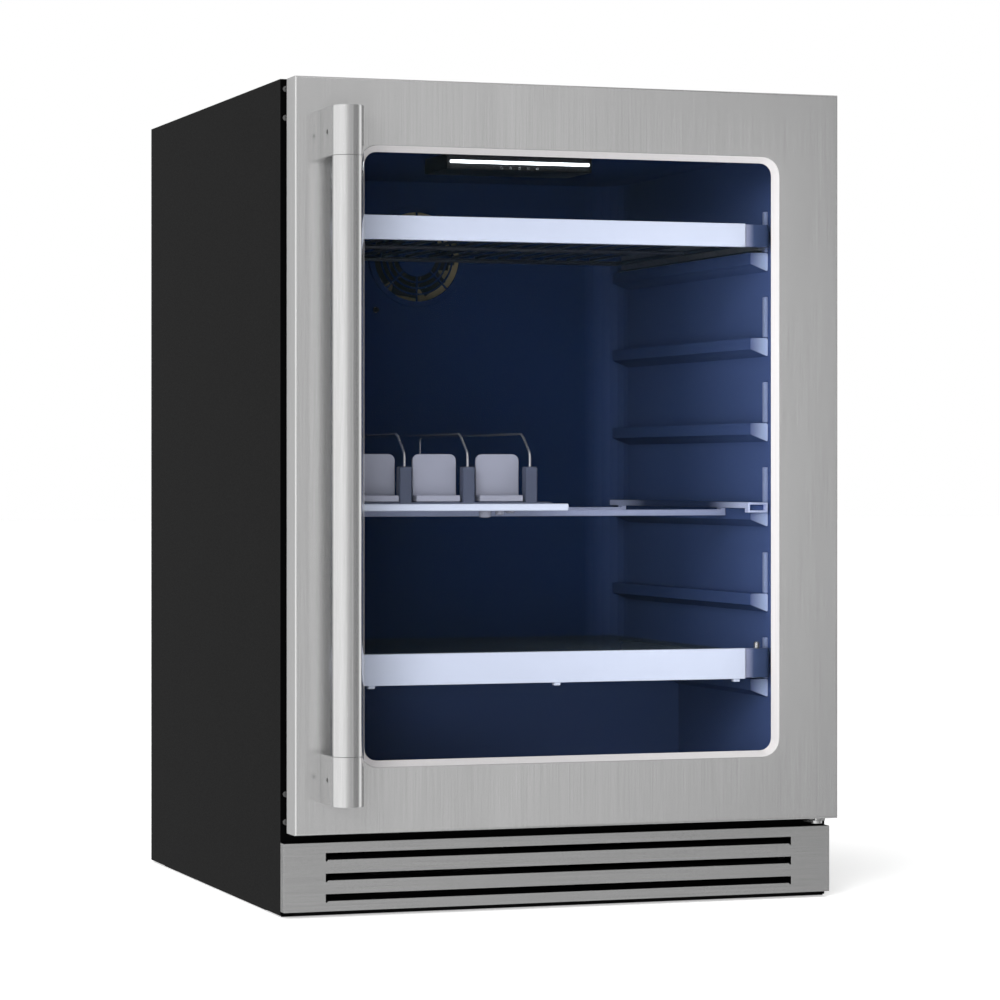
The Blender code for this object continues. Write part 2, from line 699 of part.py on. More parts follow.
def slide_inner(name, side, low, cap_z):
    """The bar that runs in the channel and carries the shelf's edge, with its end cap."""
    high = low + SLIDE_TALL
    tall, half_web = (low + 2.0, high - 2.0), LINER_HALF - RIB_THICK - 0.5
    bar = box(on_side(side, (232.3, half_web)), (SLIDE_FRONT, SLIDE_BACK - 15), tall)
    groove = (SLIDE_FRONT - 5, SLIDE_BACK)
    hollow = box(on_side(side, (237, half_web + 5)), groove, (low + 5, high - 5))
    cap = box(on_side(side, (TRIM_HALF + GAP, CAP_REACH)), (CAP_FRONT, CAP_BACK), cap_z)
    neck = box(on_side(side, (232.3, CAP_REACH)), (CAP_FRONT, SLIDE_FRONT + 3), tall)
    return sub_part(name, "galvanised", [bar], [hollow], [cap, neck])


def trim(name, x, z, tabs=()):
    """A shelf's front profile: a channel whose open side faces the back."""
    front = TRIM_FRONT
    skin = box(x, (front, front + 9), z)
    hollow = box((x[0] + 1.6, x[1] - 1.6), (front + 2, front + 15), (z[0] + 1.6, z[1] - 1.6))
    hooks = [box((t - 3.5, t + 3.5), (front + 1, front + 7), (z[0] - 3, z[0] + 1)) for t in tabs]
    return sub_part(name, "trim", [skin], [hollow], hooks)


def wine_rack():
    """A sliding rack of wires behind a trim."""
    level, back = WINE_LEVEL, 440
    pieces = [box((-232, 232), (26, 33), (level + 4, level + 9))]
    for depth in (230, back - 6):
        pieces.append(box((-232, 232), (depth, depth + 6), (level + 4, level + 9)))
    for side in SIDES:
        pieces.append(box(on_side(side, (224, 232)), (26, back), (level + 3, level + 12)))
    for i in range(15):
        x = -196 + 28 * i
        pieces.append(box((x - 1.6, x + 1.6), (14.5, back), (level + 8, level + 11.5)))
    parts = [sub_part("wine_rack_frame", "dark_wire", pieces)]
    parts.append(trim("wine_rack_trim", (-TRIM_HALF, TRIM_HALF), (level, level + 24.5)))
    for side in SIDES:
        slide_outer(f"wine_slide_outer_{side}", side, LEDGE_TOP + GAP)
        cap = (level + 1, level + 24)
        parts.append(slide_inner(f"wine_slide_inner_{side}", side, LEDGE_TOP + GAP, cap))
    pivot("wine_rack_slide", (0, TRIM_FRONT, level), parts)


def lower_shelf():
    """A sliding glass shelf behind a deep trim."""
    level = LOWER_LEVEL
    ledge = ledge_tops()[-1] + GAP
    tabs = (-200, 0, 200)
    parts = [trim("lower_shelf_trim", (-TRIM_HALF, TRIM_HALF), (level, level + 31.9), tabs)]
    glass = box((-231, 231), (26, 450), (level + 21.5, level + 27))
    tongue = box((-206, 206), (14.5, 40), (level + 21.5, level + 27))
    parts.append(sub_part("lower_shelf_glass", "clear", [glass, tongue]))
    for side in SIDES:
        slide_outer(f"lower_slide_outer_{side}", side, ledge)
        parts.append(slide_inner(f"lower_slide_inner_{side}", side, ledge, (level + 1, level + 31)))
    pivot("lower_shelf_slide", (0, TRIM_FRONT, level), parts)


def middle_support():
    """Two rails on the ledges with a loop at their front end, joined by cross bars."""
    low = ledge_tops()[3] + GAP
    top = low + 6
    pieces, cuts = [], []
    for side in SIDES:
        outer = LINER_HALF - RIB_THICK - GAP
        x = on_side(side, (220.6, outer))
        pieces.append(box(x, (24, 440), (low, top)))
        pieces.append(box(x, (24, LEDGE_FRONT - GAP), (low - 4.6, top)))
        window = on_side(side, (222.8, outer - 2.2))
        cuts.append(box(window, (20, 31), (low - 2.4, top - 2.2)))
    for depth in (100, 400):
        pieces.append(box((-222, 222), (depth, depth + 12), (401, MIDDLE_LEVEL - GAP)))
        for side in SIDES:
            pieces.append(box(on_side(side, (220.6, 226)), (depth, depth + 12), (401, top)))
    sub_part("middle_support", "galvanised", pieces, cuts)


LANE_STOPS = (-193.9, -128.2, -60.1)
LANE_PITCH = 67.8
STOP_HALF, STOP_HIGH, STOP_DEPTH = 23.5, 466.0, (22.0, 25.0)


def half_shelf():
    """A half-width glass shelf with a lane divider for cans."""
    level = MIDDLE_LEVEL
    x = (HALF_SHELF_LEFT, HALF_SHELF_RIGHT)
    bar = box(x, (TRIM_FRONT, TRIM_FRONT + 6), (level, level + 7.3))
    sub_part("half_shelf_trim", "trim", [bar])
    glass = box(x, (TRIM_FRONT + 6 + GAP, 440), (level, level + 6))
    sub_part("half_shelf_glass", "clear", [glass])
    base = level + 6 + GAP
    pieces = [box((-218, -20), depth, (base, base + 3)) for depth in ((12, 30), (380, 390))]
    for i in range(3):
        x = -163.5 + LANE_PITCH * i
        pieces.append(box((x - 6.5, x + 6.5), (12, 24), (base, 453)))
        for z in (430, 449):
            pieces.append(box((x - 1.5, x + 1.5), (20, 388), (z, z + 3)))
        pieces.append(box((x - 1.5, x + 1.5), (384, 388), (base, 452)))
    sub_part("lane_divider", "dark_wire", pieces)
    for number, x in enumerate(LANE_STOPS, 1):
        low = base + 3 + GAP
        outline = rounded((low - 20, STOP_HIGH), (x - STOP_HALF, x + STOP_HALF), 7)
        outline = [(max(z, low), across) for z, across in outline]
        plate = prism(outline, "Y", *STOP_DEPTH)
        foot = box((x - STOP_HALF, x + STOP_HALF), (8, STOP_DEPTH[1]), (low, low + 6.5))
        sub_part(f"lane_stop_{number}", "clear", [plate, foot])


def bottom_cradle():
    """A low wire cradle on the liner's floor, for bottles on their side."""
    floor = LINER_FLOOR + GAP
    pieces = [box((-225, 225), (depth, depth + 5), (floor, floor + 5)) for depth in (24, 150, 275)]
    for i in range(13):
        x = -222 + 37 * i
        pieces.append(box((x - 1.8, x + 1.8), (20, 284), (floor + 3, floor + 7)))
    sub_part("bottom_cradle", "dark_wire", pieces)


def lights():
    """The ceiling module with its lens along the front."""
    ceiling = LINER_CEILING - GAP
    module = box((-82, 82), (125, 200), (ceiling - 16, ceiling))
    sub_part("ceiling_module", "black_plastic", [module])
    lens = box((-78, 78), (121, 125 - GAP), (ceiling - 9.4, ceiling - 6.4))
    sub_part("light_lens", "lamp", [lens])


# ---------------------------------------------------------------- assembly


def main():
    for old in list(bpy.data.objects):
        bpy.data.objects.remove(old)
    outer_shell()
    flange_screws()
    back_panel()
    rear_service_cover()
    power_inlet()
    base_pan()
    levelling_feet()
    foam_insulation()
    inner_liner()
    temperature_sensor()
    fan_grille()
    evaporator()
    machine_room()
    toe_kick_grille()
    hinges()
    door = [door_frame(), door_inner_frame(), *panes(), door_gasket(), *handle()]
    pivot("door_axis", (HINGE_X, HINGE_DEPTH, DOOR_LOW), door)
    wine_rack()
    lower_shelf()
    middle_support()
    half_shelf()
    bottom_cradle()
    lights()


main()
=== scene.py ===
"""The looks of a glass-door undercounter refrigerator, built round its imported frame.

The frame's solids give every size and place. A node keeps its solid and gets a finish, or a
finer piece stands for it: the same solid with its edges rounded, or a new form such as round
wires, a ribbed gasket or a turned handle. Lengths are in metres, and MM turns millimetres
into them. X runs to the right, Y to the back and Z up.
"""

import json
import math

import bmesh
import bpy
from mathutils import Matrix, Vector

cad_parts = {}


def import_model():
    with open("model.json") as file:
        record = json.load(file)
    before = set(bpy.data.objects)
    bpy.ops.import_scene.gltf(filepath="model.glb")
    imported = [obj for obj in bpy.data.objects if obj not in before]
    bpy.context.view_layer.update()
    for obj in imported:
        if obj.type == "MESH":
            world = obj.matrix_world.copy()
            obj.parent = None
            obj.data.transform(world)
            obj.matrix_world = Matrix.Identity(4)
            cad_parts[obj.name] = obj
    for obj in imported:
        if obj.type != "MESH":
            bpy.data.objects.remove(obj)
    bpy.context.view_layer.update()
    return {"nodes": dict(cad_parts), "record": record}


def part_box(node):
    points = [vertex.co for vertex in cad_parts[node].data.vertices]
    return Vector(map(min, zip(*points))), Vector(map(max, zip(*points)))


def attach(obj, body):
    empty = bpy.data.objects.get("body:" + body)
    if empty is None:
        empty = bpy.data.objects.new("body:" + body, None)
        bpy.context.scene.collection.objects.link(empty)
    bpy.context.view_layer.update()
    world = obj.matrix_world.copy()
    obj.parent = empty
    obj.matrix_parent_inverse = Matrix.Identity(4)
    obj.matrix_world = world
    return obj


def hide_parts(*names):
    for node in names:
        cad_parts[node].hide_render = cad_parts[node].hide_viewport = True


MM = 0.001

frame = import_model()
SLOT_OF = {row["node"]: row["material_slot"] for row in frame["record"]["subparts"]}
BODY_OF = {n: body for body, nodes in frame["record"]["behaviour"]["bodies"].items() for n in nodes}
SIDES = {"left": -1, "right": 1}


class Space:
    """A node's box: x, y and z are its (low, high) pairs."""

    def __init__(self, node):
        low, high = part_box(node)
        self.x, self.y, self.z = zip(low, high)
        self.middle = (low + high) / 2
        self.size = high - low


# ---------------------------------------------------------------- finishes


class Finish:
    """A Principled material, with short calls for the nodes that vary it over the surface."""

    def __init__(self, name, colour, roughness, metallic=0.0, sockets=None):
        self.material = bpy.data.materials.new(name)
        self.material.use_nodes = True
        self.tree = self.material.node_tree
        self.shader = self.tree.nodes["Principled BSDF"]
        self.colour = colour
        self.set("Base Color", (*colour, 1.0))
        self.set("Roughness", roughness)
        self.set("Metallic", metallic)
        for socket, value in (sockets or {}).items():
            self.set(socket, value)

    def set(self, socket, value):
        self.shader.inputs[socket].default_value = value

    def link(self, output, target):
        self.tree.links.new(output, target)

    def node(self, kind, **values):
        made = self.tree.nodes.new("ShaderNode" + kind)
        for key, value in values.items():
            if key in made.inputs:
                made.inputs[key].default_value = value
            else:
                setattr(made, key, value)
        return made

    def place(self, cells=(1.0, 1.0, 1.0)):
        """The object's own coordinates, scaled to so many cells per metre along each axis."""
        coordinates = self.node("TexCoord")
        mapping = self.node("Mapping", Scale=cells)
        self.link(coordinates.outputs["Object"], mapping.inputs["Vector"])
        return mapping.outputs["Vector"]

    def noise(self, cells, detail=2.0):
        noise = self.node("TexNoise", Scale=1.0, Detail=detail)
        self.link(self.place(cells), noise.inputs["Vector"])
        return noise.outputs["Fac"]

    def axes(self, vector):
        """A vector's three parts, by their names."""
        split = self.node("SeparateXYZ")
        self.link(vector, split.inputs["Vector"])
        return split.outputs

    def size_of(self, value):
        size = self.node("Math", operation="ABSOLUTE")
        self.link(value, size.inputs[0])
        return size.outputs["Value"]

    def spangle(self, cells):
        """Random grey patches, as zinc crystals have."""
        cell = self.node("TexVoronoi", Scale=1.0)
        self.link(self.place(cells), cell.inputs["Vector"])
        grey = self.node("RGBToBW")
        self.link(cell.outputs["Color"], grey.inputs["Color"])
        return grey.outputs["Val"]

    def ranged(self, value, low, high, start=0.3, end=0.7):
        """The value taken from start..end to low..high, and held at its ends."""
        ranged = self.node("MapRange")
        limits = {"From Min": start, "From Max": end, "To Min": low, "To Max": high}
        for socket, number in limits.items():
            ranged.inputs[socket].default_value = number
        self.link(value, ranged.inputs["Value"])
        return ranged.outputs["Result"]

    def shades(self, value, dark, light, start=0.3, end=0.7):
        """The base colour, from dark to light times its own as the value goes from start to end."""
        first, second = ([c * share for c in self.colour] for share in (dark, light))
        self.blend(value, first, second, start, end)

    def blend(self, value, first, second, start=0.3, end=0.7):
        """The base colour, from first to second as the value goes from start to end."""
        mix = self.node("Mix", data_type="RGBA")
        self.link(self.ranged(value, 0.0, 1.0, start, end), mix.inputs[0])
        mix.inputs[6].default_value = (*first, 1.0)
        mix.inputs[7].default_value = (*second, 1.0)
        self.link(mix.outputs[2], self.shader.inputs["Base Color"])

    def rough(self, value, low, high):
        self.link(self.ranged(value, low, high), self.shader.inputs["Roughness"])

    def bump(self, value, depth, strength=1.0):
        bump = self.node("Bump", Strength=strength, Distance=depth)
        self.link(value, bump.inputs["Height"])
        self.link(bump.outputs["Normal"], self.shader.inputs["Normal"])


def brushed(name, colour, roughness, along, fine=1300.0, metallic=0.9):
    """Steel with hair lines that run along one axis, over slow changes of shade."""
    finish = Finish(name, colour, roughness, metallic)
    cells = [fine, fine, fine]
    cells["XYZ".index(along)] = fine / 120
    lines = finish.noise(cells, 3.0)
    finish.shades(lines, 0.93, 1.05)
    broad = [30.0, 30.0, 30.0]
    broad["XYZ".index(along)] = 3.0
    finish.rough(finish.noise(broad), roughness - 0.03, roughness + 0.03)
    finish.bump(lines, 0.01 * MM, 0.5)
    return finish.material


def powder_coat(name, colour, roughness, specular):
    """Paint with a fine orange peel."""
    finish = Finish(name, colour, roughness, sockets={"Specular IOR Level": specular})
    peel = finish.noise((700.0, 700.0, 700.0))
    finish.shades(finish.noise((18.0, 18.0, 18.0)), 0.92, 1.08)
    finish.rough(peel, roughness - 0.04, roughness + 0.06)
    finish.bump(peel, 0.03 * MM, 0.4)
    return finish.material


def moulded(name, colour, roughness, specular, grain=1800.0):
    """Plastic or rubber with a fine grain."""
    finish = Finish(name, colour, roughness, sockets={"Specular IOR Level": specular})
    texture = finish.noise((grain, grain, grain), 3.0)
    finish.shades(finish.noise((9.0, 9.0, 9.0)), 0.94, 1.06)
    finish.rough(texture, roughness - 0.05, roughness + 0.05)
    finish.bump(texture, 0.02 * MM, 0.35)
    return finish.material


def zinc(name, colour, roughness):
    """Galvanised sheet, with a faint spangle."""
    finish = Finish(name, colour, roughness, 0.9)
    finish.shades(finish.spangle((90.0, 90.0, 90.0)), 0.9, 1.06, 0.0, 1.0)
    finish.rough(finish.noise((60.0, 60.0, 60.0)), roughness - 0.08, roughness + 0.08)
    finish.bump(finish.noise((400.0, 400.0, 400.0)), 0.02 * MM, 0.4)
    return finish.material


def anodised(name, colour, roughness, metallic=0.35):
    """Satin aluminium with a very fine grain along X."""
    finish = Finish(name, colour, roughness, metallic)
    lines = finish.noise((14.0, 1500.0, 1500.0))
    finish.shades(lines, 0.975, 1.02)
    finish.rough(finish.noise((200.0, 200.0, 200.0)), roughness - 0.04, roughness + 0.04)
    return finish.material


def painted_light_fade(name, axis, first, second, start, end, roughness):
    """Satin plastic, from a first colour to a second by its distance from 0 along an axis: a
    gradient of painted light and shade.
    """
    finish = Finish(name, first, roughness)
    finish.blend(finish.size_of(finish.axes(finish.place())[axis]), first, second, start, end)
    grain = finish.noise((1500.0, 1500.0, 1500.0))
    finish.bump(grain, 0.02 * MM, 0.3)
    return finish.material


def liner_painted_light(name, dark, light, sides, depths, heights, floor):
    """Moulded plastic with painted light in its colour: lighter near its floor and on its side
    walls, darker far back or high up as painted shade.
    """
    far_shade_share, floor_lit_share = 0.35, 0.6
    finish = Finish(name, dark, 0.5, sockets={"Specular IOR Level": 0.0})
    place = finish.axes(finish.place())
    # Painted light on the side walls, fading to painted shade far back and high up
    share = finish.ranged(finish.size_of(place["X"]), 0.0, 1.0, *sides)
    for axis, ends in (("Y", depths), ("Z", heights)):
        product = finish.node("Math", operation="MULTIPLY")
        finish.link(share, product.inputs[0])
        finish.link(finish.ranged(place[axis], 1.0, far_shade_share, *ends), product.inputs[1])
        share = product.outputs["Value"]
    lit_low_down = finish.node("Math", operation="MAXIMUM")
    finish.link(share, lit_low_down.inputs[0])
    finish.link(finish.ranged(place["Z"], floor_lit_share, 0.0, *floor), lit_low_down.inputs[1])
    finish.blend(lit_low_down.outputs["Value"], dark, light, 0.0, 1.0)
    grain = finish.noise((1100.0, 1100.0, 1100.0), 3.0)
    finish.rough(grain, 0.45, 0.55)
    finish.bump(grain, 0.02 * MM, 0.35)
    return finish.material


def cut_foam(name, colour, painted):
    """Foam with a coarse grain, near black as painted shade where it looks down on the machine
    room.
    """
    finish = Finish(name, colour, 0.9, sockets={"Specular IOR Level": 0.1})
    facing = finish.node("NewGeometry").outputs["Normal"]
    # Faces that look down get the near black: painted shade
    finish.blend(finish.axes(facing)["Z"], painted, colour, -0.6, -0.4)
    finish.bump(finish.noise((350.0, 350.0, 350.0), 3.0), 0.3 * MM, 0.5)
    return finish.material


def clear(name, colour, alpha, roughness):
    """Glass or plastic that is seen through, with faint streaks in its gloss."""
    finish = Finish(name, colour, roughness, sockets={"Alpha": alpha})
    streaks = finish.noise((8.0, 8.0, 3.0), 3.0)
    finish.shades(streaks, 0.9, 1.1)
    finish.rough(streaks, roughness, roughness + 0.03)
    return finish.material


def lit(name, colour, strength):
    """A diffuser with the light behind it, its plastic very slightly uneven."""
    sockets = {"Emission Color": (*colour, 1.0), "Emission Strength": strength}
    finish = Finish(name, colour, 0.4, sockets=sockets)
    finish.shades(finish.noise((60.0, 60.0, 60.0)), 0.97, 1.03)
    return finish.material


# Where painted light and shade start and end to change: distances from the middle plane, depths and
# heights.
LEDGE_TIP, LEDGE_WALL = 227 * MM, 246 * MM
CAP_NEAR, CAP_FAR = 210 * MM, 221 * MM
RAIL_DARK, RAIL_LIGHT = 95 * MM, 185 * MM
LINER_SIDES = (205 * MM, 235 * MM)
LINER_DEPTHS = (-225 * MM, 60 * MM)
LINER_HEIGHTS = (690 * MM, 790 * MM)
LINER_FLOOR = (212 * MM, 235 * MM)

# The liner's navy in painted shade and in painted light
LINER_PAINTED_SHADE, LINER_PAINTED_LIT = (0.008, 0.022, 0.08), (0.07, 0.11, 0.27)
# A near black that paints shade into gaps and slots
SHADE_BLACK_COLOUR = (0.001, 0.001, 0.0011)
# Pairs of colours in painted shade and painted light, each from the start of its range to its end
LEDGE_PAINTED_LIGHT = (0.09, 0.12, 0.26), (0.5, 0.6, 0.85)
RIB_PAINTED_LIGHT = (0.2, 0.25, 0.42), (0.27, 0.33, 0.53)
CAP_PAINTED_LIGHT = (0.3, 0.32, 0.46), (0.045, 0.07, 0.16)
RAIL_PAINTED_LIGHT = (0.01, 0.02, 0.07), (0.5, 0.56, 0.8)

FINISHES = {
    "painted_shell": powder_coat("black_powder_coat", (0.0022, 0.0022, 0.0023), 0.58, 0.055),
    "painted_shade_black": powder_coat("black_painted_shade", SHADE_BLACK_COLOUR, 0.6, 0.03),
    "galvanised": zinc("zinc_sheet", (0.5, 0.51, 0.52), 0.42),
    "stainless": brushed("stainless_vertical", (0.62, 0.62, 0.62), 0.16, "Z"),
    "door_side": brushed("stainless_edge", (0.5, 0.5, 0.5), 0.5, "Z"),
    "reveal": brushed("satin_reveal", (0.42, 0.408, 0.412), 0.5, "Z", metallic=0.15),
    "kick": brushed("stainless_horizontal", (0.49, 0.49, 0.49), 0.24, "X"),
    "handle_steel": brushed("satin_steel", (0.53, 0.53, 0.53), 0.11, "Z", 2200.0),
    "hinge_steel": brushed("plated_steel", (0.5, 0.5, 0.5), 0.22, "Z", 1800.0),
    "black_plastic": moulded("black_plastic", (0.006, 0.006, 0.007), 0.5, 0.25),
    # The navy liner, its colour carrying painted light and shade by place
    "liner": liner_painted_light(
        "navy_liner", LINER_PAINTED_SHADE, LINER_PAINTED_LIT, LINER_SIDES, LINER_DEPTHS, LINER_HEIGHTS, LINER_FLOOR
    ),
    # These fade along an axis through painted light and shade
    "ledge": painted_light_fade("ledge_front", "X", *LEDGE_PAINTED_LIGHT, LEDGE_TIP, LEDGE_WALL, 0.4),
    "rib": painted_light_fade("rib_front", "X", *RIB_PAINTED_LIGHT, LEDGE_TIP, LEDGE_WALL, 0.4),
    "cap": painted_light_fade("end_cap", "X", *CAP_PAINTED_LIGHT, CAP_NEAR, CAP_FAR, 0.35),
    "trim": anodised("lavender_aluminium", (0.51, 0.56, 0.7), 0.4, 0.1),
    "rail": painted_light_fade("rail_coat_painted_light", "Y", *RAIL_PAINTED_LIGHT, RAIL_DARK, RAIL_LIGHT, 0.4),
    # The foam's downward faces are near black as painted shade
    "foam": cut_foam("cut_foam", (0.7, 0.6, 0.36), (0.004, 0.004, 0.004)),
    "gasket": moulded("gasket_rubber", (0.012, 0.012, 0.012), 0.65, 0.2, 900.0),
    "clear_glass": clear("pane", (0.01, 0.02, 0.024), 0.025, 0.03),
    "shelf_glass": clear("shelf_glass", (0.35, 0.45, 0.55), 0.3, 0.05),
    "clear_plastic": clear("clear_stop", (0.42, 0.44, 0.56), 0.55, 0.2),
    "wire": moulded("dark_epoxy", (0.012, 0.014, 0.024), 0.35, 0.5, 900.0),
    "post": moulded("post_plastic", (0.05, 0.06, 0.1), 0.45, 0.4),
    "bright_wire": brushed("bright_wire", (0.75, 0.76, 0.8), 0.2, "Z", 1800.0),
    "screw": powder_coat("black_oxide", (0.05, 0.05, 0.05), 0.4, 0.5),
    "fins": zinc("bare_aluminium", (0.66, 0.67, 0.69), 0.34),
    "coil_black": powder_coat("black_coil", (0.006, 0.006, 0.006), 0.6, 0.15),
    "lamp": lit("lit_lens", (0.9, 0.96, 1.0), 5.0),
    "foot": moulded("hard_rubber", (0.012, 0.012, 0.012), 0.7, 0.2),
    "touch": lit("touch_marks", (0.75, 0.8, 0.85), 0.5),
}

FINISH_OF = {
    "toe_kick_grille": "kick",
    "middle_support": "rail",
    "lower_shelf_glass": "shelf_glass",
    "half_shelf_glass": "shelf_glass",
    "condenser_coil": "coil_black",
}


def finish_of(node):
    return FINISHES[FINISH_OF.get(node, SLOT_OF[node])]


# ---------------------------------------------------------------- pieces

# Edges that turn by more degrees than this stay sharp in the shading.
SHARP = 35.0


def piece(name, fill, node, finish=None, replaces=(), sharp=SHARP):
    """A piece whose mesh fill(bm) makes. It rides with a node's body and takes the finish named, or
    else that node's.
    """
    bm = bmesh.new()
    fill(bm)
    bmesh.ops.recalc_face_normals(bm, faces=bm.faces)
    mesh = bpy.data.meshes.new(name)
    bm.to_mesh(mesh)
    bm.free()
    made = bpy.data.objects.new(name, mesh)
    bpy.context.scene.collection.objects.link(made)
    mesh.materials.append(FINISHES[finish] if finish else finish_of(node))
    mesh.shade_smooth()
    mesh.set_sharp_from_angle(angle=math.radians(sharp))
    weighted = made.modifiers.new("normals", "WEIGHTED_NORMAL")
    weighted.keep_sharp = True
    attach(made, BODY_OF[node])
    if replaces:
        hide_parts(*replaces)
    return made


def paint_faces(made, finish, chosen):
    """Gives a second finish to those faces of a piece that chosen(face) picks."""
    made.data.materials.append(FINISHES[finish])
    for face in made.data.polygons:
        if chosen(face):
            face.material_index = len(made.data.materials) - 1


def read_solid(bm, node):
    """Fills bm with a node's solid, its faces whole again."""
    bm.from_mesh(frame["nodes"][node].data)
    bmesh.ops.remove_doubles(bm, verts=bm.verts, dist=0.01 * MM)
    bmesh.ops.dissolve_limit(bm, angle_limit=math.radians(0.5), verts=bm.verts, edges=bm.edges)


def round_edges(bm, width, segments=2, where=None, angle=30.0):
    """Rounds edges that turn by more than the angle: all, or those that where(edge) picks."""
    edges = [e for e in bm.edges if e.is_manifold and e.calc_face_angle(0) > math.radians(angle)]
    if where:
        edges = [e for e in edges if where(e)]
    shortest = 2.2 * width
    bmesh.ops.bevel(
        bm,
        geom=[e for e in edges if e.calc_length() > shortest],
        offset=width,
        segments=segments,
        profile=0.5,
        affect="EDGES",
        clamp_overlap=True,
    )


def finer(node, width, segments=2, where=None):
    """A node's own solid with its edges rounded, which stands for it."""

    def fill(bm):
        read_solid(bm, node)
        round_edges(bm, width, segments, where)

    return piece(node + "_fine", fill, node, replaces=[node])


def in_mm(pairs):
    """Pairs given in millimetres, as metres."""
    return [(a * MM, b * MM) for a, b in pairs]


def ring_of(bm, points):
    return [bm.verts.new(p) for p in points]


def skin(bm, rings, closed_ends=True):
    """Faces between successive rings of equal count, and over both ends."""
    for low, high in zip(rings, rings[1:]):
        for i in range(len(low)):
            j = (i + 1) % len(low)
            bm.faces.new((low[i], low[j], high[j], high[i]))
    if closed_ends:
        bm.faces.new(rings[0])
        bm.faces.new(rings[-1])


def circle(centre, radius, axis, sides=72):
    """The points of a circle about an axis."""
    axis = Vector(axis).normalized()
    side = axis.orthogonal().normalized()
    other = axis.cross(side)
    turns = [2 * math.pi * i / sides for i in range(sides)]
    return [centre + radius * (side * math.cos(t) + other * math.sin(t)) for t in turns]


def lathe(bm, centre, axis, profile, sides=48):
    """A turned solid from (radius, place along the axis) pairs."""
    axis = Vector(axis).normalized()
    circles = [circle(centre + axis * along, radius, axis, sides) for radius, along in profile]
    skin(bm, [ring_of(bm, points) for points in circles])


def block(bm, x, y, z, radius=0.5 * MM, segments=2):
    """A box with rounded edges, from three (low, high) pairs."""
    made = bmesh.ops.create_cube(bm, size=1.0)["verts"]
    for corner in made:
        corner.co = [pair[1] if c > 0 else pair[0] for c, pair in zip(corner.co, (x, y, z))]
    edges = list({e for v in made for e in v.link_edges})
    bmesh.ops.bevel(bm, geom=edges, offset=radius, segments=segments, profile=0.5, affect="EDGES")


def plate(bm, outline, low, high, edge, to_point):
    """An outline of (a, b) pairs extruded from low to high, its rims rounded by edge."""
    middle = [sum(p[i] for p in outline) / len(outline) for i in range(2)]

    def inset(by):
        span = max(math.dist(p, middle) for p in outline)
        share = 1 - by / span
        return [[m + (p - m) * share for p, m in zip(point, middle)] for point in outline]

    curve = edge * 0.3
    steps = ((low, edge), (low + curve, curve), (low + edge, 0))
    steps += ((high - edge, 0), (high - curve, curve), (high, edge))
    skin(bm, [ring_of(bm, [to_point(a, b, along) for a, b in inset(by)]) for along, by in steps])


def bent(route, radius, steps=5):
    """A route with its inner corners turned into arcs."""
    points = [Vector(route[0])]
    for before, corner, after in zip(route, route[1:], route[2:]):
        before, corner, after = Vector(before), Vector(corner), Vector(after)
        back, ahead = (before - corner).normalized(), (after - corner).normalized()
        for i in range(steps + 1):
            t = i / steps
            start, end = corner + back * radius, corner + ahead * radius
            points.append(start * (1 - t) ** 2 + corner * 2 * t * (1 - t) + end * t * t)
    return [*points, Vector(route[-1])]


def wire(bm, route, radius, sides=12, closed=False):
    """A round wire along a route of points."""
    route = [Vector(p) for p in route]
    rings = []
    count = len(route)
    normal = None
    for i, point in enumerate(route):
        if closed:
            ahead = route[(i + 1) % count] - route[i - 1]
        else:
            ahead = route[min(i + 1, count - 1)] - route[max(i - 1, 0)]
        ahead.normalize()
        if normal is None:
            normal = ahead.orthogonal()
        normal = (normal - ahead * normal.dot(ahead)).normalized()
        other = ahead.cross(normal)
        turns = [2 * math.pi * k / sides for k in range(sides)]
        ways = [normal * math.cos(t) + other * math.sin(t) for t in turns]
        rings.append(ring_of(bm, [point + radius * way for way in ways]))
    if closed:
        rings.append(rings[0])
    skin(bm, rings, not closed)


def cut(base, cutter_fill):
    """Cuts what cutter_fill(bm) makes from a piece."""
    bm = bmesh.new()
    cutter_fill(bm)
    bmesh.ops.recalc_face_normals(bm, faces=bm.faces)
    mesh = bpy.data.meshes.new("cutter")
    bm.to_mesh(mesh)
    bm.free()
    cutter = bpy.data.objects.new("cutter", mesh)
    bpy.context.scene.collection.objects.link(cutter)
    step = base.modifiers.new("cut", "BOOLEAN")
    step.operation = "DIFFERENCE"
    step.object = cutter
    step.material_mode = "TRANSFER"
    base.modifiers.move(len(base.modifiers) - 1, 0)
    for other in base.modifiers:
        other.show_viewport = other == step
    graph = bpy.context.evaluated_depsgraph_get()
    base.data = bpy.data.meshes.new_from_object(base.evaluated_get(graph))
    base.modifiers.remove(step)
    for other in base.modifiers:
        other.show_viewport = True
    bpy.data.objects.remove(cutter)


# ---------------------------------------------------------------- cabinet

SCREW_HEAD = [(0.0002, -1.4), (1.6, -1.4), (2.6, -1.1), (3.3, -0.5), (3.5, 0.0), (3.5, 0.4)]


def pan_head(bm, centre, axis, rise=1.0):
    """A screw's domed head on a face whose outward axis is given, flatter with a low rise."""
    profile = [(radius * MM, -along * rise * MM) for radius, along in reversed(SCREW_HEAD)]
    lathe(bm, Vector(centre), axis, profile, 24)


def cabinet_shell():
    """The casing with its black flange darkened further by painted shade, the base pan, the toe
    kick with painted shade behind its slots, and the feet.
    """
    shell = finer("outer_shell", 0.35 * MM)
    # The shell's front faces, its flange, take near black as painted shade
    paint_faces(shell, "painted_shade_black", lambda face: face.normal.y < -0.9)
    for number in range(1, 5):
        finer(f"flange_screw_{number}", 0.15 * MM, 1)
    finer("base_pan", 0.3 * MM)
    kick, grille = finer("toe_kick_grille", 0.45 * MM, 3), Space("toe_kick_grille")
    behind_skin, slots_end = grille.y[0] + 0.6 * MM, grille.x[1] - 30 * MM

    def shade_in_the_slots(face):
        return face.center.y > behind_skin and abs(face.center.x) < slots_end

    # Faces behind the kick's skin, in its slots, take near black as painted shade
    paint_faces(kick, "painted_shade_black", shade_in_the_slots)
    feet()


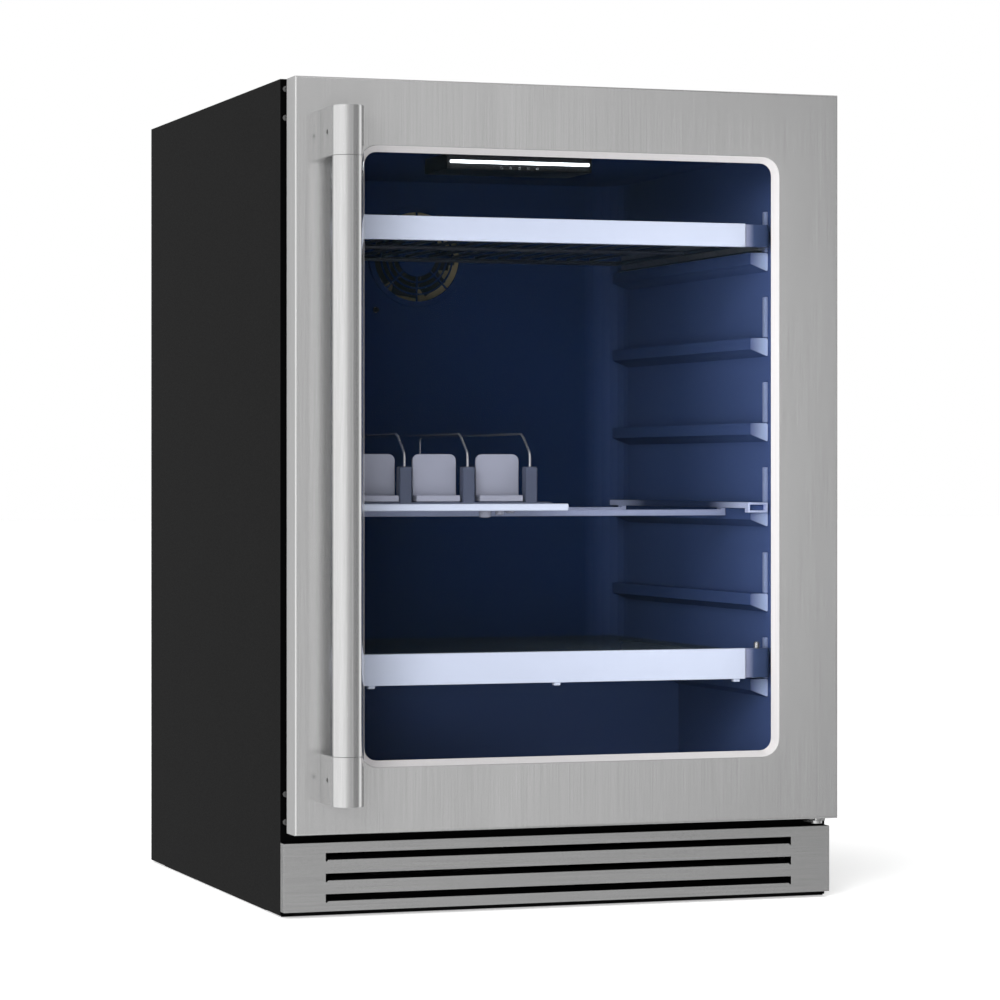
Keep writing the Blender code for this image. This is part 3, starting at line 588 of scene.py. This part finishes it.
def feet():
    """Levelling feet with a round pad and a threaded stem."""
    stem, groove, chamfer = 4.0 * MM, 0.35 * MM, 0.8 * MM
    neck, pad_top, thread_low = 6.5 * MM, 2.8 * MM, 4.0 * MM
    turns = 22
    for number in range(1, 5):
        node = f"levelling_foot_{number}"
        space = Space(node)
        radius, low, high = space.size.x / 2, space.z[0], space.z[1]

        def fill(bm, space=space, radius=radius, low=low, high=high):
            profile = [(radius - 1.2 * MM, 0), (radius - 0.3 * MM, 0.2 * MM), (radius, 0.8 * MM)]
            profile += [(radius, 1.9 * MM), (radius - 0.5 * MM, 2.6 * MM)]
            profile += [(neck, pad_top), (stem, pad_top)]
            threaded = high - low - 1.2 * MM - thread_low
            for i in range(turns):
                along = thread_low + threaded * i / turns
                profile += [(stem - groove, along), (stem, along + threaded * 0.5 / turns)]
            profile.append((stem - chamfer, high - low))
            lathe(bm, Vector((space.middle.x, space.middle.y, low)), (0, 0, 1), profile, 40)

        piece(node + "_fine", fill, node, replaces=[node])


def ledge_fronts():
    """Smooth noses on the liner's ledges and on the upright ribs over them, on both sides."""
    slides = (Space(f"{shelf}_slide_outer_right") for shelf in ("wine", "lower"))
    top, bottom = (slide.z[0] - 0.3 * MM for slide in slides)
    count = 6
    pitch = (top - bottom) / (count - 1)
    front = Space("inner_liner").y[0] + 34 * MM
    wall = Space("middle_support").x[1] + 3.4 * MM
    reach, tip, tall = 19.6 * MM, 12 * MM, 19.6 * MM
    corner, edge = 2.0 * MM, 1.2 * MM
    rib_thick, rib_deep, rib_tall = 3.6 * MM, 5 * MM, 43 * MM
    for side, sign in SIDES.items():

        def ledges(bm, sign=sign):
            for i in range(count):
                high = top - pitch * i
                outline = [(wall, high), (wall - reach, high)]
                outline += [(wall - reach, high - tip), (wall, high - tall)]
                outline = soften([(x * sign, z) for x, z in outline], corner)
                nose = (front - 2.2 * MM, front + 0.4 * MM)
                plate(bm, outline, *nose, edge, lambda a, b, y: (a, y, b))

        def ribs(bm, sign=sign):
            for i in range(count):
                low = top - pitch * i + 0.6 * MM
                x = sorted((sign * (wall - rib_thick), sign * (wall + 0.2 * MM)))
                y = (front - 1.6 * MM, front + rib_deep)
                block(bm, x, y, (low, low + rib_tall), 0.8 * MM, 3)

        # Their finishes run from painted shade at the tips to painted light at the wall
        piece(f"ledge_fronts_{side}", ledges, "inner_liner", "ledge")
        piece(f"rib_fronts_{side}", ribs, "inner_liner", "rib")


def soften(outline, radius, steps=4):
    """A closed outline with each of its corners rounded."""
    points = []
    count = len(outline)
    for i in range(count):
        before, corner, after = (Vector(outline[(i + d) % count]) for d in (-1, 0, 1))
        start = corner + (before - corner).normalized() * radius
        end = corner + (after - corner).normalized() * radius
        for k in range(steps + 1):
            t = k / steps
            points.append(tuple(start * (1 - t) ** 2 + corner * 2 * t * (1 - t) + end * t * t))
    return points


def inside():
    """The liner and what is fixed in it."""
    plain("inner_liner")
    ledge_fronts()
    sensor()
    fan_grille()
    light()
    for side in SIDES:
        for shelf in ("wine", "lower"):
            finer(f"{shelf}_slide_outer_{side}", 0.3 * MM)
    # The rails' finish fades with depth between painted shade and painted light
    rails = finer("middle_support", 0.5 * MM)
    pocket = Space("middle_support").y[0] + 3 * MM

    def in_a_pocket(face):
        beside = abs(face.center.x) > LEDGE_TIP
        return beside and face.normal.y < -0.9 and face.center.y > pocket

    paint_faces(rails, "liner", in_a_pocket)
    half_shelf()
    cradle()


def plain(*nodes):
    """Gives nodes that keep their own solid their finish."""
    for node in nodes:
        mesh = frame["nodes"][node].data
        mesh.materials.clear()
        mesh.materials.append(finish_of(node))


def sensor():
    """The temperature sensor, with a round tip."""
    node = "temperature_sensor"
    space = Space(node)
    start = Vector((space.middle.x, space.y[0], space.middle.z))

    def fill(bm):
        profile = [(0.4, 0), (1.4, 0.2), (2.2, 0.7), (2.8, 1.6), (3.0, 3.0)]
        profile.append((3.0, space.size.y / MM))
        lathe(bm, start, (0, 1, 0), in_mm(profile), 32)

    piece("temperature_sensor_fine", fill, node, replaces=[node])


def fan_grille():
    """Wire rings on spokes round a domed hub, in a flat rim."""
    node = "fan_grille"
    space = Space(node)
    radius = space.size.x / 2
    centre = Vector((space.middle.x, space.y[0], space.middle.z))
    back = Vector((0, 1, 0))
    thin = 1.2 * MM
    lift = back * (thin + 0.3 * MM)
    rim = [(7.0, 0.6), (6.5, 0.1), (1.0, 0.1), (0.0, 1.0), (0.0, 2.7), (7.0, 2.7)]
    hub = [(23.0, 2.7), (23.0, 1.2), (22.2, 0.5), (18.0, 0.15), (0.3, 0.05)]

    def fill(bm):
        circles = [circle(centre + back * a, radius - inset, back) for inset, a in in_mm(rim)]
        rings = [ring_of(bm, points) for points in circles]
        skin(bm, [*rings, rings[0]], False)
        for share in (0.74, 0.62, 0.5):
            wire(bm, circle(centre + lift, radius * share, back), thin, 10, True)
        for i in range(8):
            turn = math.pi * i / 4
            way = Vector((math.cos(turn), 0, math.sin(turn)))
            ends = [centre + way * 20 * MM + lift, centre + way * (radius - 5 * MM) + lift]
            wire(bm, ends, thin, 10)
        lathe(bm, centre, back, in_mm(hub), 64)

    piece("fan_grille_fine", fill, node, replaces=[node])


def light():
    """The ceiling module with its lit lens and a row of plain touch marks."""
    finer("ceiling_module", 1.2 * MM, 3)
    finer("light_lens", 0.8 * MM, 3)
    module = Space("ceiling_module")
    count, pitch, radius, thin = 5, 10 * MM, 1.1 * MM, 0.22 * MM

    def marks(bm):
        for i in range(count):
            x = pitch * (i - (count - 1) / 2)
            centre = Vector((x, module.y[0] + 0.2 * MM, module.z[0] + 2.6 * MM))
            wire(bm, circle(centre, radius, (0, 1, 0), 20), thin, 8, True)

    piece("touch_marks", marks, "ceiling_module", "touch")


# The pegs under the half shelf: each one's x, drop and radius, in millimetres.
PEGS = ((-74, 7.2, 6.2), (-58, 4.6, 4.6), (-47, 2.6, 5.0))


def half_shelf():
    """The half-width shelf: trim, glass, the lane posts with their wires, stops and pegs."""
    finer("half_shelf_trim", 1.6 * MM, 4)
    finer("half_shelf_glass", 0.6 * MM)
    glass = Space("half_shelf_glass")
    peg_row = glass.y[0] + 9 * MM

    def pegs(bm):
        for x, drop, radius in PEGS:
            centre = Vector((x * MM, peg_row, glass.z[0] - drop * MM))
            profile = [(radius * 0.5, 0), (radius * 0.85, 0.5), (radius, 1.4), (radius, drop)]
            lathe(bm, centre, (0, 0, 1), in_mm(profile), 32)

    piece("half_shelf_pegs", pegs, "half_shelf_glass", "clear_plastic")
    for number in range(1, 4):
        finer(f"lane_stop_{number}", 0.9 * MM, 3)
    lane_posts()


def lane_posts():
    """Posts in a row over two strips, each with a wire from its top to the back."""
    node = "lane_divider"
    space, stop = Space(node), Space("lane_stop_1")
    low, high = space.z
    first, pitch, half = -163.5 * MM, 67.8 * MM, 6.5 * MM
    places = [first + pitch * i for i in range(3)]
    front = (stop.y[0] - 1 * MM, stop.y[0] + 11 * MM)
    rear = space.y[1] - 2 * MM
    strip_thick, strip_end = 2.8 * MM, places[-1] + 22 * MM
    rise, lean, climb = 14 * MM, 26 * MM, 34 * MM

    def fill(bm):
        for y in ((front[0], front[1] + 6 * MM), (rear - 8 * MM, rear + 2 * MM)):
            block(bm, (space.x[0], strip_end), y, (low, low + strip_thick), 0.7 * MM)
        for x in places:
            block(bm, (x - half, x + half), front, (low + 1 * MM, high), 1.5 * MM, 3)

    piece("lane_posts", fill, node, "post", [node])

    def wires(bm):
        y, top = front[0] + 5 * MM, high + climb
        for x in places:
            route = [(x, y, high - 4 * MM), (x, y, high + rise), (x, y + lean, top)]
            route += [(x, rear, top), (x, rear, low)]
            wire(bm, bent(route, 6 * MM), 1.3 * MM)

    piece("lane_wires", wires, node, "bright_wire")


def cradle():
    """Round wires front to back on cross rods, low over the liner's floor."""
    node = "bottom_cradle"
    space = Space(node)
    low, high = space.z
    rod, thin = 2.5 * MM, 1.8 * MM
    count, margin = 13, 3 * MM

    def fill(bm):
        for share in (0.03, 0.5, 0.97):
            y = space.y[0] + space.size.y * share
            wire(bm, [(space.x[0], y, low + rod), (space.x[1], y, low + rod)], rod)
        for i in range(count):
            x = space.x[0] + margin + (space.size.x - 2 * margin) * i / (count - 1)
            z = high - thin
            wire(bm, [(x, space.y[0], z), (x, space.y[1], z)], thin)

    piece("cradle_wires", fill, node, replaces=[node])


def hidden_parts():
    """What the foam and the machine room hold."""
    plain("foam_insulation", "evaporator_coil", "condenser_coil")
    finer("evaporator_fan_motor", 0.6 * MM)
    finer("condenser_fan_motor", 0.6 * MM)
    finer("compressor", 1.5 * MM)
    for name in ("evaporator_fan_rotor", "condenser_fan_rotor"):
        finer(name, 0.25 * MM, 1)


def rear():
    """The back: panel, louvred cover and inlet, with their screws."""
    finer("back_panel", 0.3 * MM)
    finer("rear_service_cover", 0.3 * MM)
    finer("power_inlet", 0.6 * MM)
    panel, cover = Space("back_panel"), Space("rear_service_cover")
    edge = 9 * MM

    def panel_screws(bm):
        for x in (panel.x[0] + edge, panel.middle.x, panel.x[1] - edge):
            for share in (0.03, 0.35, 0.67, 0.985):
                pan_head(bm, (x, panel.y[1], panel.z[0] + panel.size.z * share), (0, 1, 0))

    def cover_screws(bm):
        for x in (cover.x[0] + edge, cover.middle.x - 65 * MM, cover.x[1] - edge):
            for z in (cover.z[0] + edge, cover.z[1] - edge):
                pan_head(bm, (x, cover.y[1], z), (0, 1, 0))

    def louvres(bm):
        hood = [(0.0, 1.5), (1.8, 0.0), (1.8, -4.0), (1.35, -4.0), (1.35, -0.5), (0.0, 0.3)]
        lowest, pitch, half = 47 * MM, 20 * MM, 56 * MM
        for column in (-200 * MM, -70 * MM, 60 * MM):
            for row in range(6):
                high = lowest + pitch * row
                outline = [(cover.y[1] + out, high + up) for out, up in in_mm(hood)]
                ends = (column - half, column + half)
                skin(bm, [ring_of(bm, [(x, y, z) for y, z in outline]) for x in ends])

    piece("back_panel_screws", panel_screws, "back_panel", "screw")
    piece("service_cover_screws", cover_screws, "rear_service_cover", "screw")
    piece("service_cover_louvres", louvres, "rear_service_cover")


def hinges():
    """The brackets, and two screws in each plate, so flush that the open door clears them."""
    plate_front = Space("outer_shell").y[0] - 2.8 * MM
    inset, rise = 8 * MM, 0.15
    for place in ("upper", "lower"):
        node = "hinge_bracket_" + place
        finer(node, 0.5 * MM)
        space = Space(node)
        heights = (space.z[0] + 12 * MM, space.z[0] + 30 * MM)
        if place == "lower":
            heights = (space.z[1] - 12 * MM, space.z[1] - 30 * MM)

        def fill(bm, heights=heights, space=space):
            for z in heights:
                pan_head(bm, (space.x[1] - inset, plate_front, z), (0, -1, 0), rise)

        piece(f"hinge_screws_{place}", fill, node, "screw")


# ---------------------------------------------------------------- door


def door():
    """The skin, the inner frame, the panes with their spacer, the gasket and the handle."""
    skin_of_door()
    finer("door_inner_frame", 0.5 * MM)
    finer("glass_spacer", 0.3 * MM)
    for pane in ("outer_glass", "inner_glass"):
        finer(pane, 0.5 * MM)
    gasket()
    handle()


def skin_of_door():
    """The stainless skin: brushed in front, duller at its sides, paler round the window."""
    whole, window = Space("door_frame"), Space("outer_glass")
    side = whole.x[1] - 1 * MM

    def of_the_reveal(edge):
        ends = [v.co for v in edge.verts]
        return all(abs(p.y - whole.y[0]) < 0.1 * MM and abs(p.x) < window.x[1] for p in ends)

    def at_a_side(face):
        return abs(face.normal.x) > 0.9 and abs(face.center.x) > side

    def round_the_window(face):
        ahead = face.center.y < window.y[0] and abs(face.normal.y) < 0.8
        beside = abs(face.center.x) < window.x[1]
        return ahead and beside and window.z[0] < face.center.z < window.z[1]

    made = finer("door_frame", 0.5 * MM, 3, of_the_reveal)
    paint_faces(made, "door_side", at_a_side)
    paint_faces(made, "reveal", round_the_window)


def gasket():
    """A magnetic seal: a flat face to the cabinet over two soft folds, mitred at its corners."""
    node = "door_gasket"
    space = Space(node)
    wide = 16 * MM
    back, front = space.y[1], space.y[0]
    deep = back - front
    profile = [(0.0, 0.12), (0.04, 0.3), (0.0, 0.5), (0.04, 0.72), (0.0, 0.86), (0.06, 1.0)]
    profile += [(0.3, 0.98), (0.34, 0.86), (0.4, 0.86), (0.44, 0.98), (0.94, 1.0), (1.0, 0.86)]
    profile += [(0.96, 0.72), (1.0, 0.5), (0.96, 0.3), (1.0, 0.12), (0.94, 0.0), (0.06, 0.0)]

    def fill(bm):
        rings = []
        for a, b in profile:
            inset = a * wide
            x = (space.x[0] + inset, space.x[1] - inset)
            z = (space.z[0] + inset, space.z[1] - inset)
            y = front + deep * b
            corners = ((0, 0), (1, 0), (1, 1), (0, 1))
            rings.append(ring_of(bm, [(x[i], y, z[k]) for i, k in corners]))
        skin(bm, [*rings, rings[0]], False)

    piece("gasket_folds", fill, node, replaces=[node], sharp=50.0)


def handle():
    """The bar, turned, between two end pieces that reach back to the door."""
    bar = Space("handle_bar")
    radius = bar.size.x / 2
    centre = Vector((bar.middle.x, bar.middle.y, 0))
    chamfer = 0.25 * MM

    def grip(bm):
        low, high = bar.z
        profile = [(radius - chamfer, low), (radius, low + chamfer)]
        profile += [(radius, high - chamfer), (radius - chamfer, high)]
        lathe(bm, centre, (0, 0, 1), profile, 128)

    piece("handle_grip", grip, "handle_bar", replaces=["handle_bar"])
    for place in ("upper", "lower"):
        end_piece(place, centre, radius)


def end_piece(place, centre, radius):
    """A handle bracket: round in front, straight back to the door, with a set screw in a hole."""
    node, screw_node = "handle_bracket_" + place, "handle_set_screw_" + place
    space, screw = Space(node), Space(screw_node)
    steps, hole_radius, hole_deep = 64, 2.6 * MM, 6 * MM
    outline = [(centre.x - radius, space.y[1]), (centre.x - radius, centre.y)]
    for i in range(1, steps):
        t = math.pi * (1 + i / steps)
        outline.append((centre.x + radius * math.cos(t), centre.y + radius * math.sin(t)))
    outline += [(centre.x + radius, centre.y), (centre.x + radius, space.y[1])]

    def fill(bm):
        plate(bm, outline, space.z[0], space.z[1], 0.6 * MM, lambda a, b, z: (a, b, z))

    made = piece(f"handle_end_{place}", fill, node, replaces=[node])
    start = Vector((space.x[0] - 2 * MM, screw.middle.y, screw.middle.z))

    def hole(bm):
        lathe(bm, start, (1, 0, 0), [(hole_radius, 0), (hole_radius, hole_deep)], 40)

    cut(made, hole)
    made.data.shade_smooth()
    made.data.set_sharp_from_angle(angle=math.radians(SHARP))
    grub = Vector((screw.x[0], screw.middle.y, screw.middle.z))
    grub_profile = [(1.2, 1.0), (1.3, 0.0), (2.0, 0.0), (2.2, 0.3), (2.2, 2.4)]

    def set_screw(bm):
        lathe(bm, grub, (1, 0, 0), in_mm(grub_profile), 32)

    piece(f"handle_grub_{place}", set_screw, screw_node, replaces=[screw_node])


# ---------------------------------------------------------------- shelves


def shelves():
    """The two full-width shelves, which slide out."""
    wine_rack()
    finer("lower_shelf_glass", 0.6 * MM)
    for shelf, trim, cap_low in (
        ("wine", "wine_rack_trim", 0.6 * MM),
        ("lower", "lower_shelf_trim", 4 * MM),
    ):
        finer(trim, 0.5 * MM, 3)
        for side in SIDES:
            slide_and_cap(shelf, side, Space(trim), cap_low)


def slide_and_cap(shelf, side, trim, cap_low):
    """A slide's moving bar, and the cap on its front end with a round outer corner.

    The cap starts cap_low over the trim's lower edge. On the lower shelf it holds a pin.
    """
    node = f"{shelf}_slide_inner_{side}"
    front = Space(node).y[0]
    split, lap = front + 15.2 * MM, 0.4 * MM
    cap_z = (trim.z[0] + cap_low, trim.z[1] - 0.6 * MM)

    def bar(bm):
        read_solid(bm, node)
        geometry = [*bm.verts, *bm.edges, *bm.faces]
        cut = bmesh.ops.bisect_plane(
            bm, geom=geometry, plane_co=(0, split, 0), plane_no=(0, 1, 0), clear_inner=True
        )
        edges = [e for e in cut["geom_cut"] if isinstance(e, bmesh.types.BMEdge)]
        bmesh.ops.edgeloop_fill(bm, edges=edges)
        round_edges(bm, 0.3 * MM)

    piece(f"{shelf}_slide_bar_{side}", bar, node, replaces=[node])
    sign = SIDES[side]
    near, far = trim.x[1] + 0.3 * MM, 240 * MM
    turn, steps = 6 * MM, 8
    outline = [(near, split - lap), (near, front)]
    for i in range(steps + 1):
        t = math.radians(-90 + 90 * i / steps)
        outline.append((far - turn + turn * math.cos(t), front + turn + turn * math.sin(t)))
    outline.append((far, split - lap))
    outline = [(sign * x, y) for x, y in outline]

    def cap(bm):
        plate(bm, outline, cap_z[0], cap_z[1], 0.9 * MM, lambda a, b, z: (a, b, z))

    # The cap's finish darkens towards the wall, from painted light to painted shade
    piece(f"{shelf}_end_cap_{side}", cap, node, "cap")
    if shelf == "lower":

        def pin(bm):
            start = Vector((sign * 228 * MM, front + 9 * MM, cap_z[1] - 0.2 * MM))
            profile = [(3.6, 0), (3.6, 5.2), (3.2, 6.4), (2.2, 7.3), (0.8, 7.7)]
            lathe(bm, start, (0, 0, 1), in_mm(profile), 32)

        piece(f"shelf_pin_{side}", pin, node, "bright_wire")


def wine_rack():
    """Round wires front to back on cross rods, between two side rods."""
    node = "wine_rack_frame"
    space = Space(node)
    low, high = space.z
    rod, thin = 2.6 * MM, 1.7 * MM
    count, pitch = 15, 28 * MM
    behind_trim = space.y[0] + 1 * MM

    def fill(bm):
        level = low + rod + 1 * MM
        for y in (behind_trim + 14 * MM, space.middle.y, space.y[1] - rod):
            wire(bm, [(space.x[0] + rod, y, level), (space.x[1] - rod, y, level)], rod)
        for sign in SIDES.values():
            x = sign * (space.x[1] - rod)
            wire(bm, [(x, behind_trim + 12 * MM, level), (x, space.y[1], level)], rod)
        for i in range(count):
            x = pitch * (i - (count - 1) / 2)
            z = high - thin
            route = [(x, behind_trim, low + 4 * MM), (x, behind_trim + 4 * MM, z)]
            route.append((x, space.y[1] - thin, z))
            wire(bm, bent(route, 2 * MM), thin)

    piece("wine_rack_wires", fill, node, replaces=[node])


# ---------------------------------------------------------------- studio

WORLD_LEVELS = (
    (-180, 0.9), (-172, 0.3), (-158, 0.3), (-150, 1.15), (-64, 1.3), (-45, 1.2), (-33, 1.1),
    (-19, 0.8), (-6, 0.62), (6, 0.54), (14, 0.5), (19.5, 0.7), (23, 0.38), (30, 0.31), (38, 0.3),
    (52, 0.24), (64, 0.3), (74, 0.8), (80, 1.25), (94, 1.25), (102, 0.3), (114, 0.15), (160, 0.2),
    (172, 0.9), (180, 0.9),
)
BRIGHTEST = 2.0


def world():
    """White behind the object, and round it a studio whose brightness changes with the bearing.

    Bearings are in degrees from the front, positive to the right.
    """
    made = bpy.data.worlds.new("studio")
    bpy.context.scene.world = made
    made.use_nodes = True
    tree = made.node_tree
    new, link = tree.nodes.new, tree.links.new
    way = new("ShaderNodeTexCoord")
    axes = new("ShaderNodeSeparateXYZ")
    link(way.outputs["Generated"], axes.inputs["Vector"])
    ahead = new("ShaderNodeMath")
    ahead.operation = "MULTIPLY"
    ahead.inputs[1].default_value = -1.0
    link(axes.outputs["Y"], ahead.inputs[0])
    bearing = new("ShaderNodeMath")
    bearing.operation = "ARCTAN2"
    link(axes.outputs["X"], bearing.inputs[0])
    link(ahead.outputs["Value"], bearing.inputs[1])
    share = new("ShaderNodeMapRange")
    share.inputs["From Min"].default_value = -math.pi
    share.inputs["From Max"].default_value = math.pi
    link(bearing.outputs["Value"], share.inputs["Value"])
    ramp = new("ShaderNodeValToRGB")
    stops = ramp.color_ramp.elements
    while len(stops) < len(WORLD_LEVELS):
        stops.new(0.5)
    for stop, (degrees, level) in zip(stops, WORLD_LEVELS):
        stop.position = (degrees + 180) / 360
        stop.color = (level / BRIGHTEST, level / BRIGHTEST, level / BRIGHTEST, 1.0)
    link(share.outputs["Result"], ramp.inputs["Fac"])
    studio = tree.nodes["Background"]
    studio.inputs["Strength"].default_value = BRIGHTEST
    link(ramp.outputs["Color"], studio.inputs["Color"])
    paper = new("ShaderNodeBackground")
    paper.inputs["Color"].default_value = (1.0, 1.0, 1.0, 1.0)
    path = new("ShaderNodeLightPath")
    chosen = new("ShaderNodeMixShader")
    link(path.outputs["Is Camera Ray"], chosen.inputs["Fac"])
    link(studio.outputs["Background"], chosen.inputs[1])
    link(paper.outputs["Background"], chosen.inputs[2])
    link(chosen.outputs["Shader"], tree.nodes["World Output"].inputs["Surface"])


def soft_light(name, place, aim, size, power):
    """An oval light, its size given as (width, height), which neither mirrors nor shows."""
    data = bpy.data.lights.new(name, "AREA")
    data.shape = "ELLIPSE"
    data.size, data.size_y = size
    data.energy = power
    lamp = bpy.data.objects.new(name, data)
    lamp.location = place
    lamp.rotation_euler = (Vector(aim) - Vector(place)).to_track_quat("-Z", "Y").to_euler()
    lamp.visible_glossy = lamp.visible_camera = False
    bpy.context.scene.collection.objects.link(lamp)


def floor():
    """A pale floor that the steel doesn't mirror."""
    half = 30.0
    mesh = bpy.data.meshes.new("floor")
    corners = [(-half, -half, 0), (half, -half, 0), (half, half, 0), (-half, half, 0)]
    mesh.from_pydata(corners, [], [(0, 1, 2, 3)])
    made = bpy.data.objects.new("floor", mesh)
    bpy.context.scene.collection.objects.link(made)
    sockets = {"Emission Color": (1.0, 1.0, 1.0, 1.0), "Emission Strength": 0.4}
    sockets["Specular IOR Level"] = 0.0
    finish = Finish("floor_paper", (0.9, 0.9, 0.9), 0.9, sockets=sockets)
    finish.shades(finish.noise((2.0, 2.0, 2.0)), 0.995, 1.0)
    mesh.materials.append(finish.material)
    made.visible_glossy = False


def camera():
    """A long lens from the left of the front, level, at half the object's height."""
    data = bpy.data.cameras.new("camera")
    data.sensor_width = 36.0
    data.lens = 129.85
    data.shift_y = -0.0256
    data.clip_end = 200.0
    made = bpy.data.objects.new("camera", data)
    made.location = (-1.2571, -3.72665, 0.4451)
    made.rotation_euler = (math.radians(90), 0, math.radians(-18.83))
    bpy.context.scene.collection.objects.link(made)
    bpy.context.scene.camera = made


def stage():
    """The studio: its brightness, floor and lights."""
    world()
    floor()
    soft_light("key", (-2.6, -3.4, 1.5), (0.1, -0.2, 0.45), (1.6, 1.6), 100)
    soft_light("top", (0.0, -1.2, 3.2), (0.0, 0.0, 0.5), (2.4, 2.4), 30)
    soft_light("near_right", (0.22, -0.42, 0.48), (0.2, -0.2, 0.47), (0.06, 0.7), 0.55)
    soft_light("low_left", (-1.0, -2.2, 0.25), (0.2, 0.0, 0.19), (0.5, 0.5), 12)
    bpy.context.scene.view_settings.view_transform = "Standard"


# ---------------------------------------------------------------- assembly


def main():
    camera()
    stage()
    cabinet_shell()
    inside()
    hidden_parts()
    rear()
    hinges()
    door()
    shelves()


main()
